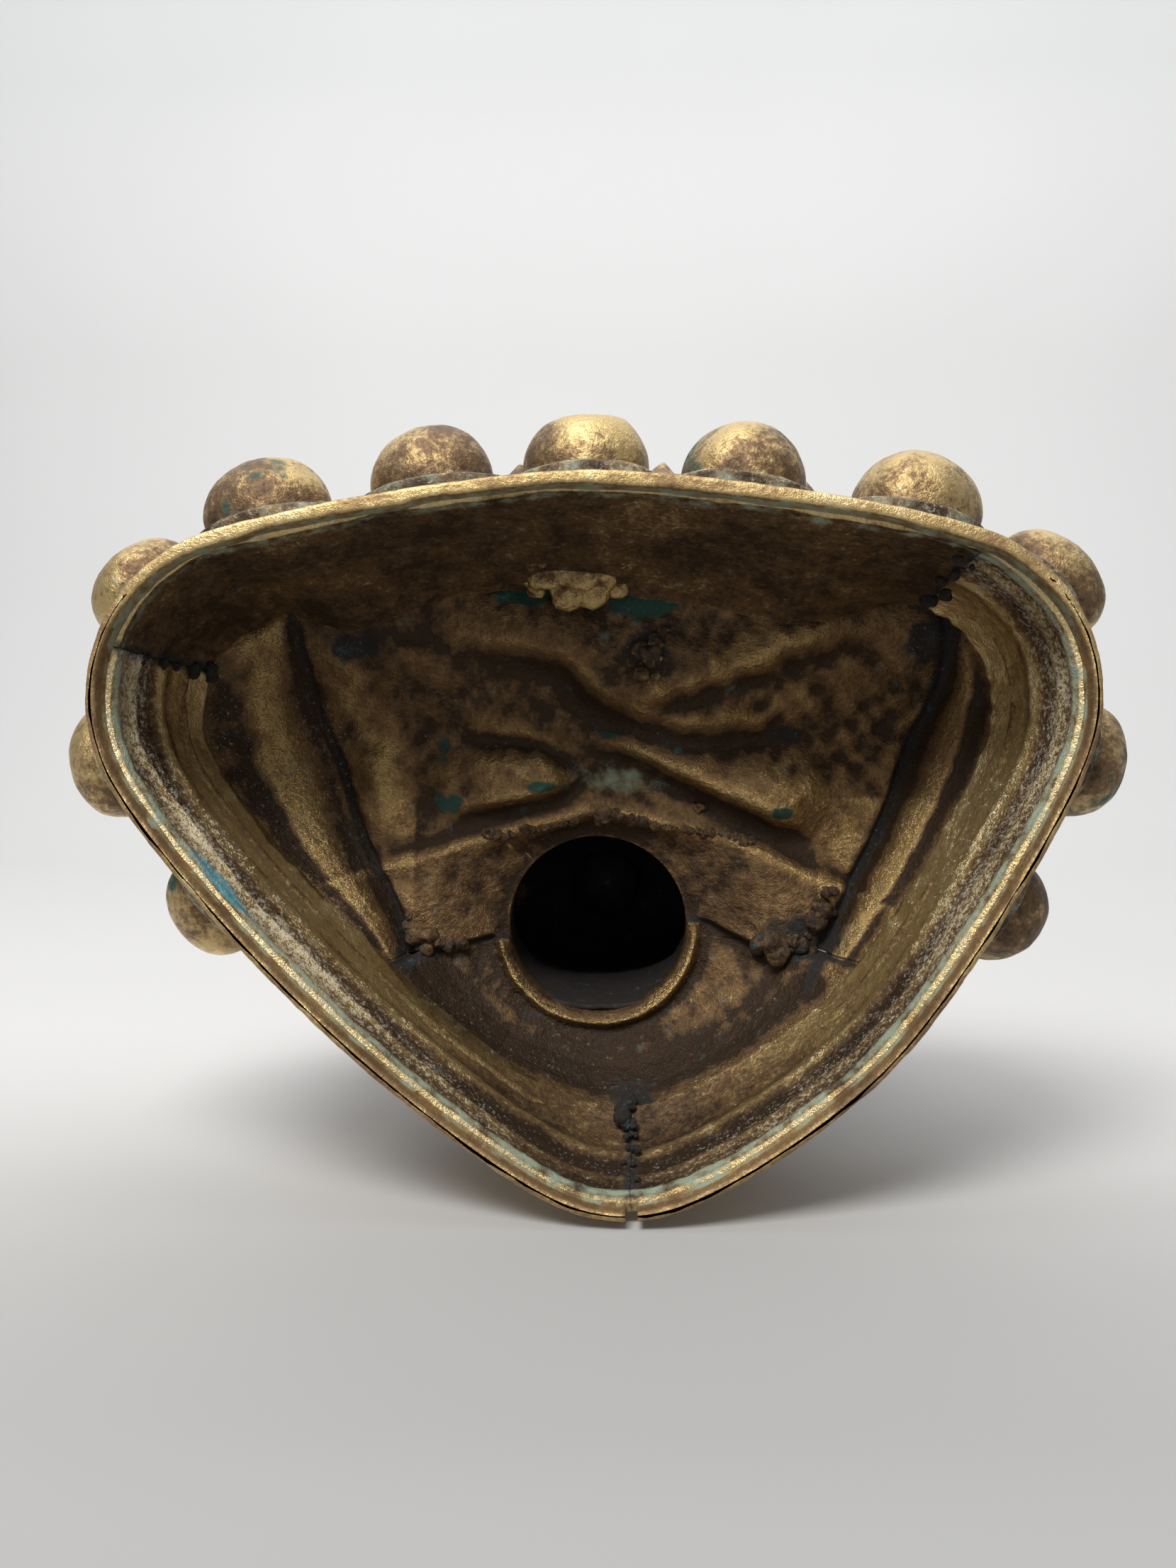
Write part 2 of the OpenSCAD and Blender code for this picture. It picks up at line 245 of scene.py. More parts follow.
# Folds of the crossed legs: each is nearer below on its front side and drops behind its line
# run, drop, how far the rise reaches in front, how far the drop reaches behind
FOLDS = [
    (curve_through([(-50, -50), (-28, -43), (-7, -38), (1, -30), (10, -25), (25, -21), (44, -22), (60, -26)], 40), 8.5, 13, 4.2),
    (curve_through([(-9, -18), (10, -14), (22, -8), (35, -2), (51, 5), (62, 9)], 30), 9.0, 12, 3.2),
    (curve_through([(-47, 4), (-25, 0), (-13, -3), (-5, -8)], 24), 6.2, 11, 3.0),
    (curve_through([(2, -31), (14, -28), (21, -30), (40, -36), (56, -42), (80, -50)], 30), 5.4, 9, 4.0),
    (curve_through([(-40, -20), (-26, -19), (-14, -17), (-5, -11)], 24), 3.2, 7, 2.6),
]
# Lobes that bulge downwards: x, y, width in x, width in y, rise
BULGES = [(-21, -9, 13, 6, 2.4), (54, -2, 15, 9, 2.6), (57, -30, 20, 10, 1.8), (-58, -2, 8, 15, 3.4),
          (-11, -32, 15, 6, 1.6), (-52, -34, 16, 9, 1.6), (22, -40, 8, 6, 1.6), (6, -4, 17, 7, -2.2)]


def seat_reach(angle):
    """Distance from the torso's axis to the deck's edge, against the polar angle round that axis in degrees."""
    length = np.linspace(0, FootLine.round_length, 1441)
    round_foot = FootLine.angle(length)
    x, y = outline(FootLine.normal(length), edge_inset(round_foot) - 3)
    there = np.degrees(np.arctan2(y - TORSO_AXIS[1], x - TORSO_AXIS[0]))
    order = np.argsort(there)
    return np.interp(angle, there[order], np.hypot(x, y - TORSO_AXIS[1])[order], period=360)


def hollow_z(x, y):
    """Level of the castings' underside above the deck, as a height map of the plan.

    In front of the hip seam it is a panel that falls towards the front wall, with the legs' folds, bulges and creases
    added to it. Towards each side it runs down to the deck along a wavy slope. Behind the seam it is a bowl round the
    torso's mouth, with a lip round the mouth's rear half.
    """
    angle = np.degrees(np.arctan2(y - TORSO_AXIS[1], x - TORSO_AXIS[0]))
    away = np.hypot(x - TORSO_AXIS[0], y - TORSO_AXIS[1])
    to_seat = np.maximum(seat_reach(angle) - away, 0)
    here = np.stack([x, y, np.zeros_like(x)], -1)

    panel = 70.5 - 13.5 * smooth((-14 - y) / 36)
    for run, drop, before, behind in FOLDS:
        gap, share, side = to_run(x, y, run)
        fade = smooth(share / 0.3) * smooth((1 - share) / 0.3)
        panel -= drop * fade * np.where(side > 0, bump(gap, before), bump(gap, behind)) * 0.9
        panel += drop * 0.22 * fade * bump(np.where(side > 0, -gap, gap) - behind * 1.5, behind)
    for bx, by, wide, deep, rise in BULGES:
        panel -= rise * np.exp(-(((x - bx) / wide) ** 2) - ((y - by) / deep) ** 2)
    gap, _, side = to_run(x, y, LAP_ARCH)
    behind_arch = smooth(0.5 - np.where(side > 0, gap, -gap) / 4.5)
    panel = panel * (1 - behind_arch) + (76.5 - 0.5 * np.clip(away - 26, 0, 20)) * behind_arch
    panel -= 0.8 * bump(gap, 2.4)

    for run, out_side in ((LEFT_CREASE, -1), (RIGHT_CREASE, 1)):
        gap, _, side = to_run(x, y, run)
        outside = np.where(side * out_side > 0, gap, 0)
        share = outside / (outside + to_seat + 0.01)
        slope = np.interp(share, [0, 0.1, 0.28, 0.45, 0.62, 0.8, 1], [0, 0.06, 0.42, 0.58, 0.6, 0.78, 1])
        panel += (47.5 - panel) * slope
        panel += 1.8 * bump(gap, 1.1)
    behind_wall = smooth((7 - to_seat) / 7) * front_share(angle_round_foot(x, y))
    panel += (55.5 - panel) * behind_wall

    share = np.clip((away - BORE_R) / (seat_reach(angle) - BORE_R), 0, 1)
    bowl = np.interp(share, [0, 0.15, 0.4, 0.65, 0.82, 0.93, 1], [76, 75.6, 73, 68, 61, 53, 47.5])
    bowl -= 3.4 * bump(away - 27, 1.7) * smooth((y - TORSO_AXIS[1] + 6) / 12)
    gap, _, side = to_run(x, y, HIP_SEAM)
    behind = smooth(0.5 - np.where(side > 0, gap, -gap) / 3)
    z = panel * (1 - behind) + bowl * behind + 1.3 * bump(gap, 0.8) * smooth((away - 26) / 5)
    hammered = bump(np.hypot(x - 55, (y + 22) * 1.3), 34)
    z += 0.6 * rough(here, 9, 3) + 0.28 * rough(here, 3.2, 7) + 1.0 * hammered * rough(here, 4.6, 11, 2)
    z += 1.3 * (np.abs(grain(here, 17, 19)) - 0.4) * smooth(to_seat / 12) * smooth((away - 28) / 8)
    return z


def angle_round_foot(x, y):
    """The angle of a place about the foot's middle, in degrees from +X."""
    return np.degrees(np.arctan2(y - FOOT_MID[1], x - FOOT_MID[0]))


# ---------------------------------------------------------------- meshes

def grid_faces(rows, columns, wrap_rows=False, wrap_columns=False, first=0):
    """Quads of a grid of points stored row by row."""
    i = np.arange(rows if wrap_rows else rows - 1)[:, None]
    j = np.arange(columns if wrap_columns else columns - 1)[None, :]
    next_i, next_j = (i + 1) % rows, (j + 1) % columns
    quads = np.stack([i * columns + j, i * columns + next_j, next_i * columns + next_j, next_i * columns + j], -1)
    return quads.reshape(-1, 4) + first


def make_mesh(name, points, faces, marks=None):
    """A mesh from points in millimetres, faces of three or four corners, and marks: named values per point."""
    mesh = bpy.data.meshes.new(name)
    mesh.from_pydata(np.asarray(points, float).reshape(-1, 3) * MM, [], [list(map(int, f)) for f in faces]
                     if isinstance(faces, list) else faces.tolist())
    for key, values in (marks or {}).items():
        mesh.attributes.new(key, "FLOAT", "POINT").data.foreach_set("value", np.ravel(values).astype(np.float32))
    mesh.validate()
    mesh.polygons.foreach_set("use_smooth", np.ones(len(mesh.polygons), bool))
    return mesh


def face_outwards(mesh):
    """Turns a closed mesh's faces outwards by the sign of its volume, which is the sum of its corner tetrahedra."""
    mesh.calc_loop_triangles()
    corner = np.zeros(len(mesh.loop_triangles) * 3, np.int32)
    mesh.loop_triangles.foreach_get("vertices", corner)
    place = np.zeros(len(mesh.vertices) * 3)
    mesh.vertices.foreach_get("co", place)
    a, b, c = np.moveaxis(place.reshape(-1, 3)[corner.reshape(-1, 3)], 1, 0)
    if np.einsum("ij,ij->i", a, np.cross(b, c)).sum() < 0:
        mesh.flip_normals()


def add_piece(name, mesh, material, slot, *nodes):
    """Puts a mesh in the scene as a piece that rides on the root and stands for CAD nodes."""
    face_outwards(mesh)
    piece = bpy.data.objects.new(name + "_look", mesh)
    bpy.context.scene.collection.objects.link(piece)
    mesh.materials.append(material)
    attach(piece, "root")
    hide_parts(*nodes)
    return piece


def joined(name, parts):
    """One mesh from several (points, faces, marks)."""
    points, faces, marks, first = [], [], {}, 0
    keys = {key for part in parts for key in part[2]}
    for p, f, m in parts:
        p = np.asarray(p, float).reshape(-1, 3)
        points.append(p)
        faces.extend((np.array(face) + first).tolist() for face in f)
        for key in keys:
            marks.setdefault(key, []).append(np.ravel(m.get(key, np.zeros(len(p)))))
        first += len(p)
    return make_mesh(name, np.vstack(points), faces, {k: np.concatenate(v) for k, v in marks.items()})


def closed_loops(points):
    """Faces of loops of points stacked along the first axis, closed round each loop and capped at both ends."""
    rows, columns = points.shape[:2]
    faces = grid_faces(rows, columns, wrap_columns=True).tolist()
    faces.append(list(range(columns))[::-1])
    faces.append([(rows - 1) * columns + j for j in range(columns)])
    return faces


def shell(lower, upper):
    """A thin closed shell between two grids of the same size: both grids, and a strip round their shared border."""
    rows, columns = lower.shape[:2]
    count = rows * columns
    index = np.arange(count).reshape(rows, columns)
    border = np.concatenate([index[0, :-1], index[:-1, -1], index[-1, :0:-1], index[:0:-1, 0]])
    ahead = np.roll(border, -1)
    under = grid_faces(rows, columns)
    over = grid_faces(rows, columns, first=count)[:, ::-1]
    strip = np.stack([border, border + count, ahead + count, ahead], -1)
    return np.concatenate([lower.reshape(-1, 3), upper.reshape(-1, 3)]), np.concatenate([under, over, strip])


def ball(centre, radii, seed=0, lump=0.0, rows=14, columns=22):
    """A closed ball: centre + radii * (sin v cos u, sin v sin u, cos v), roughened by `lump` of its size."""
    v = np.linspace(0, np.pi, rows + 1)[1:-1, None]
    u = np.linspace(0, 2 * np.pi, columns, endpoint=False)[None, :]
    unit = np.stack(np.broadcast_arrays(np.sin(v) * np.cos(u), np.sin(v) * np.sin(u), np.cos(v)), -1).reshape(-1, 3)
    unit = np.vstack([unit, [0, 0, 1], [0, 0, -1]])
    size = 1 + lump * rough(unit + seed * 3.7, 0.9, seed + 1)
    points = np.asarray(centre, float) + unit * size[:, None] * np.asarray(radii, float)
    faces = grid_faces(rows - 1, columns, wrap_columns=True).tolist()
    top, low = len(points) - 2, len(points) - 1
    last = (rows - 2) * columns
    faces += [[top, (j + 1) % columns, j] for j in range(columns)]
    faces += [[low, last + j, last + (j + 1) % columns] for j in range(columns)]
    return points, [f[::-1] for f in faces], {}


def turned(profile, centre, columns=64, shape=None):
    """A closed turned piece: a profile of [radius, z] from its lower pole to its upper one, swept round centre.

    shape(u, v) may scale the radius, where u is the angle and v the share of the way along the profile.
    """
    profile = np.asarray(profile, float)
    u = np.linspace(0, 2 * np.pi, columns, endpoint=False)[None, :]
    v = np.linspace(0, 1, len(profile) - 2)[:, None]
    radius = profile[1:-1, :1] * (1 if shape is None else shape(u, v))
    z = np.broadcast_to(profile[1:-1, 1:], radius.shape) if radius.shape[1] > 1 else profile[1:-1, 1:]
    x, y, z = np.broadcast_arrays(radius * np.cos(u), radius * np.sin(u), z)
    body = np.stack([x, y, z], -1).reshape(-1, 3)
    points = np.vstack([body, [0, 0, profile[0, 1]], [0, 0, profile[-1, 1]]]) + np.asarray(centre, float)
    rows = len(profile) - 2
    faces = grid_faces(rows, columns, wrap_columns=True).tolist()
    low, top, last = len(body), len(body) + 1, (rows - 1) * columns
    faces += [[low, (j + 1) % columns, j] for j in range(columns)]
    faces += [[top, last + j, last + (j + 1) % columns] for j in range(columns)]
    return points, faces, {}


def tube(path, radii, sides=20, flat=1.0, ref=(0, 0, 1)):
    """A closed round limb: rings of a radius carried along a path, `flat` as deep as they are wide, with domed ends."""
    path, radii = np.asarray(path, float), np.asarray(radii, float)
    along = np.gradient(path, axis=0)
    along /= np.linalg.norm(along, axis=1)[:, None]
    across = np.cross(along, np.asarray(ref, float))
    across /= np.linalg.norm(across, axis=1)[:, None]
    up = np.cross(across, along)
    cap = np.sin(np.linspace(0, np.pi / 2, 6))[1:-1]
    first = [(path[0] - along[0] * radii[0] * math.sqrt(1 - c * c), radii[0] * c, 0) for c in cap]
    last = [(path[-1] + along[-1] * radii[-1] * math.sqrt(1 - c * c), radii[-1] * c, -1) for c in cap[::-1]]
    middle = np.vstack([[f[0] for f in first], path, [f[0] for f in last]])
    size = np.concatenate([[f[1] for f in first], radii, [f[1] for f in last]])
    pick = np.concatenate([np.zeros(len(first), int), np.arange(len(path)), np.full(len(last), len(path) - 1)])
    u = np.linspace(0, 2 * np.pi, sides, endpoint=False)
    ring = across[pick][:, None] * np.cos(u)[None, :, None] + flat * up[pick][:, None] * np.sin(u)[None, :, None]
    points = middle[:, None] + ring * size[:, None, None]
    return points.reshape(-1, 3), closed_loops(points), {}


# ---------------------------------------------------------------- finishes

def add_node(tree, kind, inputs=(), **settings):
    """A shader node with its settings, and its inputs set or linked."""
    made = tree.nodes.new(kind)
    for key, value in settings.items():
        setattr(made, key, value)
    for key, value in dict(inputs).items():
        if isinstance(value, bpy.types.NodeSocket):
            tree.links.new(value, made.inputs[key])
        else:
            made.inputs[key].default_value = value
    return made


def math_node(tree, operation, a, b=0.0, clamp=False):
    """The output of one sum on two values."""
    return add_node(tree, "ShaderNodeMath", {0: a, 1: b}, operation=operation, use_clamp=clamp).outputs[0]


def mixed(tree, share, a, b):
    """The colour a, turned to b by a share."""
    return add_node(tree, "ShaderNodeMix", {0: share, 6: a, 7: b}, data_type="RGBA").outputs[2]


def ramped(tree, value, stops):
    """A colour ramp through (place, colour) stops."""
    ramp = add_node(tree, "ShaderNodeValToRGB", {0: value})
    elements = ramp.color_ramp.elements
    while len(elements) < len(stops):
        elements.new(0.5)
    for element, (place, colour) in zip(elements, stops):
        element.position = place
        element.color = (*colour, 1)
    return ramp.outputs[0]


def stepped(tree, value, low, high):
    """Eases from 0 to 1 while value goes from low to high."""
    made = add_node(tree, "ShaderNodeMapRange", {0: value, 1: low, 2: high}, interpolation_type="SMOOTHSTEP")
    return made.outputs[0]


def brass(name, colours, metal=0.9, rough_range=(0.3, 0.55), tone=0.0, grain_bump=0.35, edge_wear=0.5, dusty=0.25,
          patchy=1.0):
    """Old brass: tarnish in patches of several sizes over bare gold, darker in hollows and brighter on edges.

    The mesh's own marks steer it: the rubbing mark bares it and also lays on painted highlights, the soiling mark
    darkens it with dirt and with painted shade, the soot mark burns it and also paints deep shade near black, dust
    leaves pale specks, and verdigris, dark_green and turquoise lay those corrosion colours over it in broken patches.
    """
    material = bpy.data.materials.new(name)
    material.use_nodes = True
    tree = material.node_tree
    tree.nodes.clear()
    place = add_node(tree, "ShaderNodeTexCoord").outputs["Object"]

    def noise(scale, detail=5.0, roughness=0.6, warp=0.0):
        """Noise in the object's own metres."""
        return add_node(tree, "ShaderNodeTexNoise", {"Vector": place, "Scale": scale, "Detail": detail,
                                                     "Roughness": roughness, "Distortion": warp}).outputs[0]

    def mark(key):
        """A mark that the mesh carries at its points."""
        return add_node(tree, "ShaderNodeAttribute", attribute_name=key).outputs["Fac"]

    patches, mottle, speck, grit = noise(42, 5, 0.62, 0.4), noise(190, 6, 0.65), noise(820, 4, 0.7), noise(2300, 2, 0.6)
    edge = add_node(tree, "ShaderNodeNewGeometry").outputs["Pointiness"]
    value = math_node(tree, "MULTIPLY_ADD", patches, 1.3 * patchy)
    tree.nodes[-1].inputs[2].default_value = tone + 0.25 - 0.65 * patchy
    for part, weight, middle in ((mottle, 0.8 * patchy, 0.5), (speck, 0.75, 0.5), (edge, edge_wear * 8, 0.5)):
        centred = math_node(tree, "SUBTRACT", part, middle)
        scaled = math_node(tree, "MULTIPLY", centred, weight)
        value = math_node(tree, "ADD", value, scaled)
    # the rubbing mark brightens worn brass and also painted highlights; the soiling mark darkens dirt and also painted
    # shade
    value = math_node(tree, "ADD", value, math_node(tree, "MULTIPLY", mark("rub"), 0.4))
    value = math_node(tree, "SUBTRACT", value, math_node(tree, "MULTIPLY", mark("soil"), 0.4))
    dark, brown, gold, light = colours
    colour = ramped(tree, value, [(0.05, dark), (0.32, brown), (0.56, gold), (0.85, light)])
    shine = stepped(tree, value, 0.1, 0.7)

    def overlay(colour, key, tint, low, high):
        """The colour under a corrosion tint, which the mottle breaks up, and the tint's share."""
        broken = math_node(tree, "SUBTRACT", math_node(tree, "ADD", mark(key), mottle), 1.0)
        share = stepped(tree, broken, low, high)
        return mixed(tree, share, colour, (*tint, 1)), share

    cover = None
    # the soot layer paints burnt patches and also deep painted shade near black
    layers = [("soot", (0.014, 0.010, 0.008), -0.35, 0.05), ("dark_green", (0.012, 0.055, 0.038), -0.05, 0.3),
              ("verdigris", (0.25, 0.29, 0.20), -0.25, 0.1), ("turquoise", (0.06, 0.27, 0.33), -0.4, -0.1)]
    for key, tint, low, high in layers:
        colour, share = overlay(colour, key, tint, low, high)
        cover = share if cover is None else math_node(tree, "MAXIMUM", cover, share)
    fine = math_node(tree, "ADD", math_node(tree, "MULTIPLY", speck, 0.62), math_node(tree, "MULTIPLY", grit, 0.38))
    fine = math_node(tree, "ADD", fine, math_node(tree, "MULTIPLY", math_node(tree, "ADD", mark("dust"), dusty * 0.12), 0.2))
    fine = math_node(tree, "ADD", fine, math_node(tree, "MULTIPLY", math_node(tree, "SUBTRACT", patches, 0.5), 0.2))
    dotted = stepped(tree, fine, 0.62, 0.7)
    colour = mixed(tree, math_node(tree, "MULTIPLY", dotted, 0.6), colour, (0.40, 0.39, 0.33, 1))
    cover = math_node(tree, "MAXIMUM", cover, dotted)

    bare = math_node(tree, "SUBTRACT", 1.0, cover, clamp=True)
    metallic = math_node(tree, "MULTIPLY", bare, math_node(tree, "MULTIPLY_ADD", shine, 0.35))
    tree.nodes[-2].inputs[2].default_value = metal - 0.35
    smoothness = math_node(tree, "MULTIPLY", shine, rough_range[1] - rough_range[0])
    roughness = math_node(tree, "ADD", math_node(tree, "SUBTRACT", rough_range[1], smoothness),
                          math_node(tree, "MULTIPLY", math_node(tree, "SUBTRACT", speck, 0.5), 0.25))
    roughness = math_node(tree, "ADD", roughness, math_node(tree, "MULTIPLY", cover, 0.3), clamp=True)
    relief = math_node(tree, "ADD", math_node(tree, "MULTIPLY", speck, 0.7), math_node(tree, "MULTIPLY", grit, 0.35))
    relief = math_node(tree, "ADD", relief, math_node(tree, "MULTIPLY", mottle, 1.1))
    relief = math_node(tree, "ADD", relief, math_node(tree, "MULTIPLY", cover, 0.25))
    normal = add_node(tree, "ShaderNodeBump", {"Strength": grain_bump, "Distance": 0.0009, "Height": relief}).outputs[0]
    shader = add_node(tree, "ShaderNodeBsdfPrincipled", {"Base Color": colour, "Metallic": metallic, "Roughness": roughness,
                                                         "Normal": normal})
    output = add_node(tree, "ShaderNodeOutputMaterial")
    tree.links.new(shader.outputs[0], output.inputs[0])
    return material


def finish(kind):
    """The finish of a kind of surface, made once."""
    if kind + "_finish" in bpy.data.materials:
        return bpy.data.materials[kind + "_finish"]
    tones = bpy.context.scene.figure_brass
    dark, brown, bronze, gold, pale = map(tuple, (tones.dark, tones.brown, tones.bronze, tones.gold, tones.pale))
    recipes = {
        "filed_brass": dict(colours=(brown, bronze, gold, pale), tone=-0.02, rough_range=(0.42, 0.62), edge_wear=0.2,
                            grain_bump=0.5),
        "base_brass": dict(colours=(dark, brown, gold, pale), tone=0.17, patchy=0.8, rough_range=(0.34, 0.6),
                           grain_bump=0.6, dusty=0.3),
        "hollow_brass": dict(colours=(dark, brown, bronze, gold), tone=0.03, rough_range=(0.24, 0.48), grain_bump=1.0,
                             patchy=0.7, dusty=-0.3),
        "petal_brass": dict(colours=(dark, brown, gold, gold), tone=0.02, rough_range=(0.34, 0.55), grain_bump=0.5),
        "figure_brass": dict(colours=(dark, brown, gold, pale), tone=0.02, rough_range=(0.3, 0.5), edge_wear=0.7),
        "pot_brass": dict(colours=(brown, bronze, gold, pale), tone=0.05, rough_range=(0.26, 0.44), edge_wear=0.7),
        "plug_brass": dict(colours=(dark, brown, gold, gold), tone=0.06, rough_range=(0.3, 0.5), grain_bump=0.8, dusty=-1),
        "braze": dict(colours=(dark, brown, bronze, gold), tone=-0.1, rough_range=(0.35, 0.6), grain_bump=0.8, dusty=-1),
    }
    return brass(kind + "_finish", **recipes[kind])


# ---------------------------------------------------------------- the base

def wall_loop(length, angle, front):
    """A wall's closed section at each length: insets and levels, from the foot up the outside and down the inside.

    The inside of the side walls has two ridges and an edge. The front wall's inside leans in under the deck.
    """
    edge, top = edge_inset(angle), edge_z(angle)
    edge = edge + 0.8 * rough(np.stack([length, length * 0, length * 0], -1), 7, 47)
    outside = [(1.0, 4.2), (1.2, 6), (1.6, 9), (2.2, 14), (2.6, 20), (2.4, 27), (3.6, 33), (6.4, 37.5), (7.4, 40),
               (6.2, 42), (4.6, 43.5), (4.2, 46), (4.8, 48.5), (6.4, 50)]
    outer = curve_through(outside, 64)
    outer_inset = np.broadcast_to(outer[:, 0], (len(length), 64))
    outer_z = np.broadcast_to(outer[:, 1], (len(length), 64))
    ridge = smooth((np.abs(((angle - 175) + 180) % 360 - 180) - 70) / -40) * 0.9 + 0.35
    if front:
        shares = [(0, 0), (0.06, 0.09), (0.14, 0.19), (0.23, 0.31), (0.34, 0.45), (0.47, 0.59), (0.62, 0.73), (0.78, 0.86),
                  (0.93, 0.96), (1, 1)]
        share = curve_through(shares, 84)
        inner_inset = 3.9 + (edge[:, None] - 3.9) * share[:, 0]
        inner_z = 4.2 + (top[:, None] - 4.2) * share[:, 1]
    else:
        levels = np.linspace(0, 1, 84)[None, :] * (top[:, None] - 4.2) + 4.2
        base = np.interp(levels, [4.2, 6.5, 9, 12, 17, 21, 25, 30, 36, 41], [3.9, 4.7, 4.2, 4.4, 4.5, 4.7, 5.3, 6.0, 6.4, 6.6])
        lip = edge[:, None] - 6.6
        base = base + lip * np.clip((levels - 36) / (top[:, None] - 36), 0, 1) ** 1.5
        along = np.stack([length, 0 * length, 0 * length], -1)
        sway, strength = rough(along, 34, 51)[:, None], 0.65 + 0.5 * grain(along, 23, 53)[:, None]
        base = base + 1.7 * strength * bump(levels - 27.5 - 1.5 * sway, 2.1)
        base = base + ridge[:, None] * 1.5 * (1.3 - strength) * bump(levels - 14 + 1.4 * sway, 1.7)
        base = base + 0.6 * ridge[:, None] * bump(levels - 20.5 - sway, 1.5) - 0.7 * bump(levels - 33, 2.5)
        inner_inset, inner_z = base, levels
    ledge = np.stack([np.full(len(length), 8.0), edge - 2.2, edge - 0.3], 1)
    ledge_z = np.stack([np.full(len(length), 50.2), top + 2.2, top + 1.5], 1)
    inset = np.concatenate([outer_inset, ledge, inner_inset[:, ::-1]], 1)
    z = np.concatenate([outer_z, ledge_z, inner_z[:, ::-1]], 1)
    return inset, z


def base_wall(name, from_angle, to_angle, front, seed):
    """A wall casting: its section carried along the foot's outline, cast roughness square to it, ragged at its seams."""
    start, end = FootLine.along(from_angle), FootLine.along(to_angle)
    end += FootLine.round_length * (end < start)
    count = int((end - start) / 0.85)
    length = np.linspace(start + 0.02, end - 0.02, count)
    angle = FootLine.angle(length)
    inset, z = wall_loop(length, angle, front)
    near_end = bump(length - start, 2.5) - bump(length - end, 2.5)
    place = on_base(length[:, None], -inset, z)
    ragged = near_end[:, None] * 0.4 * grain(place, 2.4, seed)
    inner = (np.arange(inset.shape[1]) > 66)[None, :]
    rear = bump(angle - 83, 45)[:, None]
    relief = np.where(inner, 0.34 * rough(place, 12, seed) + 0.16 * rough(place, 3.0, seed + 5), 0.12 * rough(place, 9, seed))
    place = on_base(length[:, None] + ragged, -(inset + relief), z)
    marks = {
        # Inside the side walls: painted highlights on the two ridges and the band above the upper one, less at the
        # rear; partly bare brass.
        "rub": inner * (0.8 * bump(z - 27.5, 2.4) + 0.7 * (1 - 0.95 * rear) * smooth((z - 30) / 6)
                        + 0.5 * bump(z - 14, 2.5)) * (not front)
        + (~inner) * 0.1,
        # Painted shade in the hollow between the ridges and over the whole inside of the front wall, which faces away
        # from the light; darker towards the rear.
        "soil": inner * (0.5 * bump(z - 20, 4) + 0.75 * rear if not front else 0.6 + 0 * z),
        "dust": inner * (0.75 * (1 - 0.6 * rear) * bump(z - 14, 13) if not front else 0.05 + 0 * z) + (~inner) * 0.1,
        "verdigris": inner * bump(z - 6, 2.8) * (0.5 if not front else 0.38) + (~inner) * 0.2 * bump(z - 8, 4),
        "soot": smooth((4.5 - np.minimum(length - start, end - length)) / 4.5)[:, None] * inner * 0.55,
        "turquoise": inner * bump(z - 8, 3) * bump(angle[:, None] - 172, 5) * 0.75,
    }
    points = place.reshape(-1, 3)
    mesh = make_mesh(name, points, closed_loops(place), {k: np.broadcast_to(v, z.shape) for k, v in marks.items()})
    return add_piece(name, mesh, finish("base_brass"), "worn_brass", name)


def make_foot_rim():
    """The foot's rim: a strip of section 3.4 x 5 with worn edges, carried round the outline up to the rear notch."""
    start = FootLine.along(REAR_SEAM)
    length = np.linspace(start + 1.4, start + FootLine.round_length - 1.4, 900)
    section = np.array([(3.3, 0.5), (3.0, 0.12), (2.6, 0), (2.1, 0), (1.6, 0), (1.1, 0), (0.6, 0.02), (0.25, 0.2), (0.02, 0.7),
                        (0, 1.6), (0.05, 2.6), (0, 3.6), (0.1, 4.6), (0.6, 5), (2.6, 5), (3.5, 5), (3.6, 3.6), (3.5, 2), (3.4, 1.1)])
    inset, z = (np.broadcast_to(section[:, i], (len(length), len(section))).copy() for i in range(2))
    place = on_base(length[:, None], -inset, z)
    worn = rough(place, 9, 31, 4)
    from_front = ((FootLine.angle(length) + 270) % 360 - 180)[:, None]
    beside = smooth((np.abs(from_front) - 50) / 20)
    inset -= np.where(inset > 2, 1, 0.0) * (0.95 * beside * (z < 4.5)) * (1 + 0.4 * worn)
    inset += np.where(inset > 2, 1, 0.0) * (0.45 * worn - 0.1) + np.where(inset < 0.5, 1, 0) * 0.25 * np.abs(worn)
    z += np.where((z > 0.05) & (z < 1), 0.25 * np.abs(rough(place, 3, 37)), 0)
    place = on_base(length[:, None], -inset, z)
    marks = {"rub": np.where(z < 0.4, 0.62 - 0.6 * beside + 0.35 * beside * rough(place, 16, 39), 0.1),
             "verdigris": np.where((z > 0.6) & (inset > 2.5), 0.42, 0.0),
             "soil": np.where(z < 0.3, 0, 0.3)}
    mesh = make_mesh("foot_rim", place.reshape(-1, 3), closed_loops(place), marks)
    add_piece("foot_rim", mesh, finish("filed_brass"), "filed_brass", "foot_rim")


def make_hatched_border():
    """The border: a half-round strand along the foot with slanting twists, height + 0.45 * |sin| of length and level."""
    start, end = FootLine.along(153) - FootLine.round_length, FootLine.along(18)
    length = np.linspace(start, end, 1500)
    turn = np.linspace(0, 2 * np.pi, 14, endpoint=False)[None, :]
    level = RIM_H + 2.1 + 1.9 * np.sin(turn)
    twist = np.abs(np.sin(np.pi * (length[:, None] / 2.3 + (level - RIM_H) / 2.6))) ** 0.7
    height = -0.6 + (1.5 + 0.45 * twist * (np.cos(turn) > 0)) * np.cos(turn)
    place = on_base(length[:, None], height, level)
    # The grooves between the twists are painted darker, as shade.
    mesh = make_mesh("hatched_border", place.reshape(-1, 3), closed_loops(place), {"soil": 0.9 - twist + 0 * level})
    add_piece("hatched_border", mesh, finish("base_brass"), "worn_brass", "hatched_border")


FRONT_PETALS = [-45.5, -24, 0, 24, 45.5]
SIDE_PETALS = [61, 79.5, 98]
TIPS = [11.5, 33, 52.5, 70.5, 89]


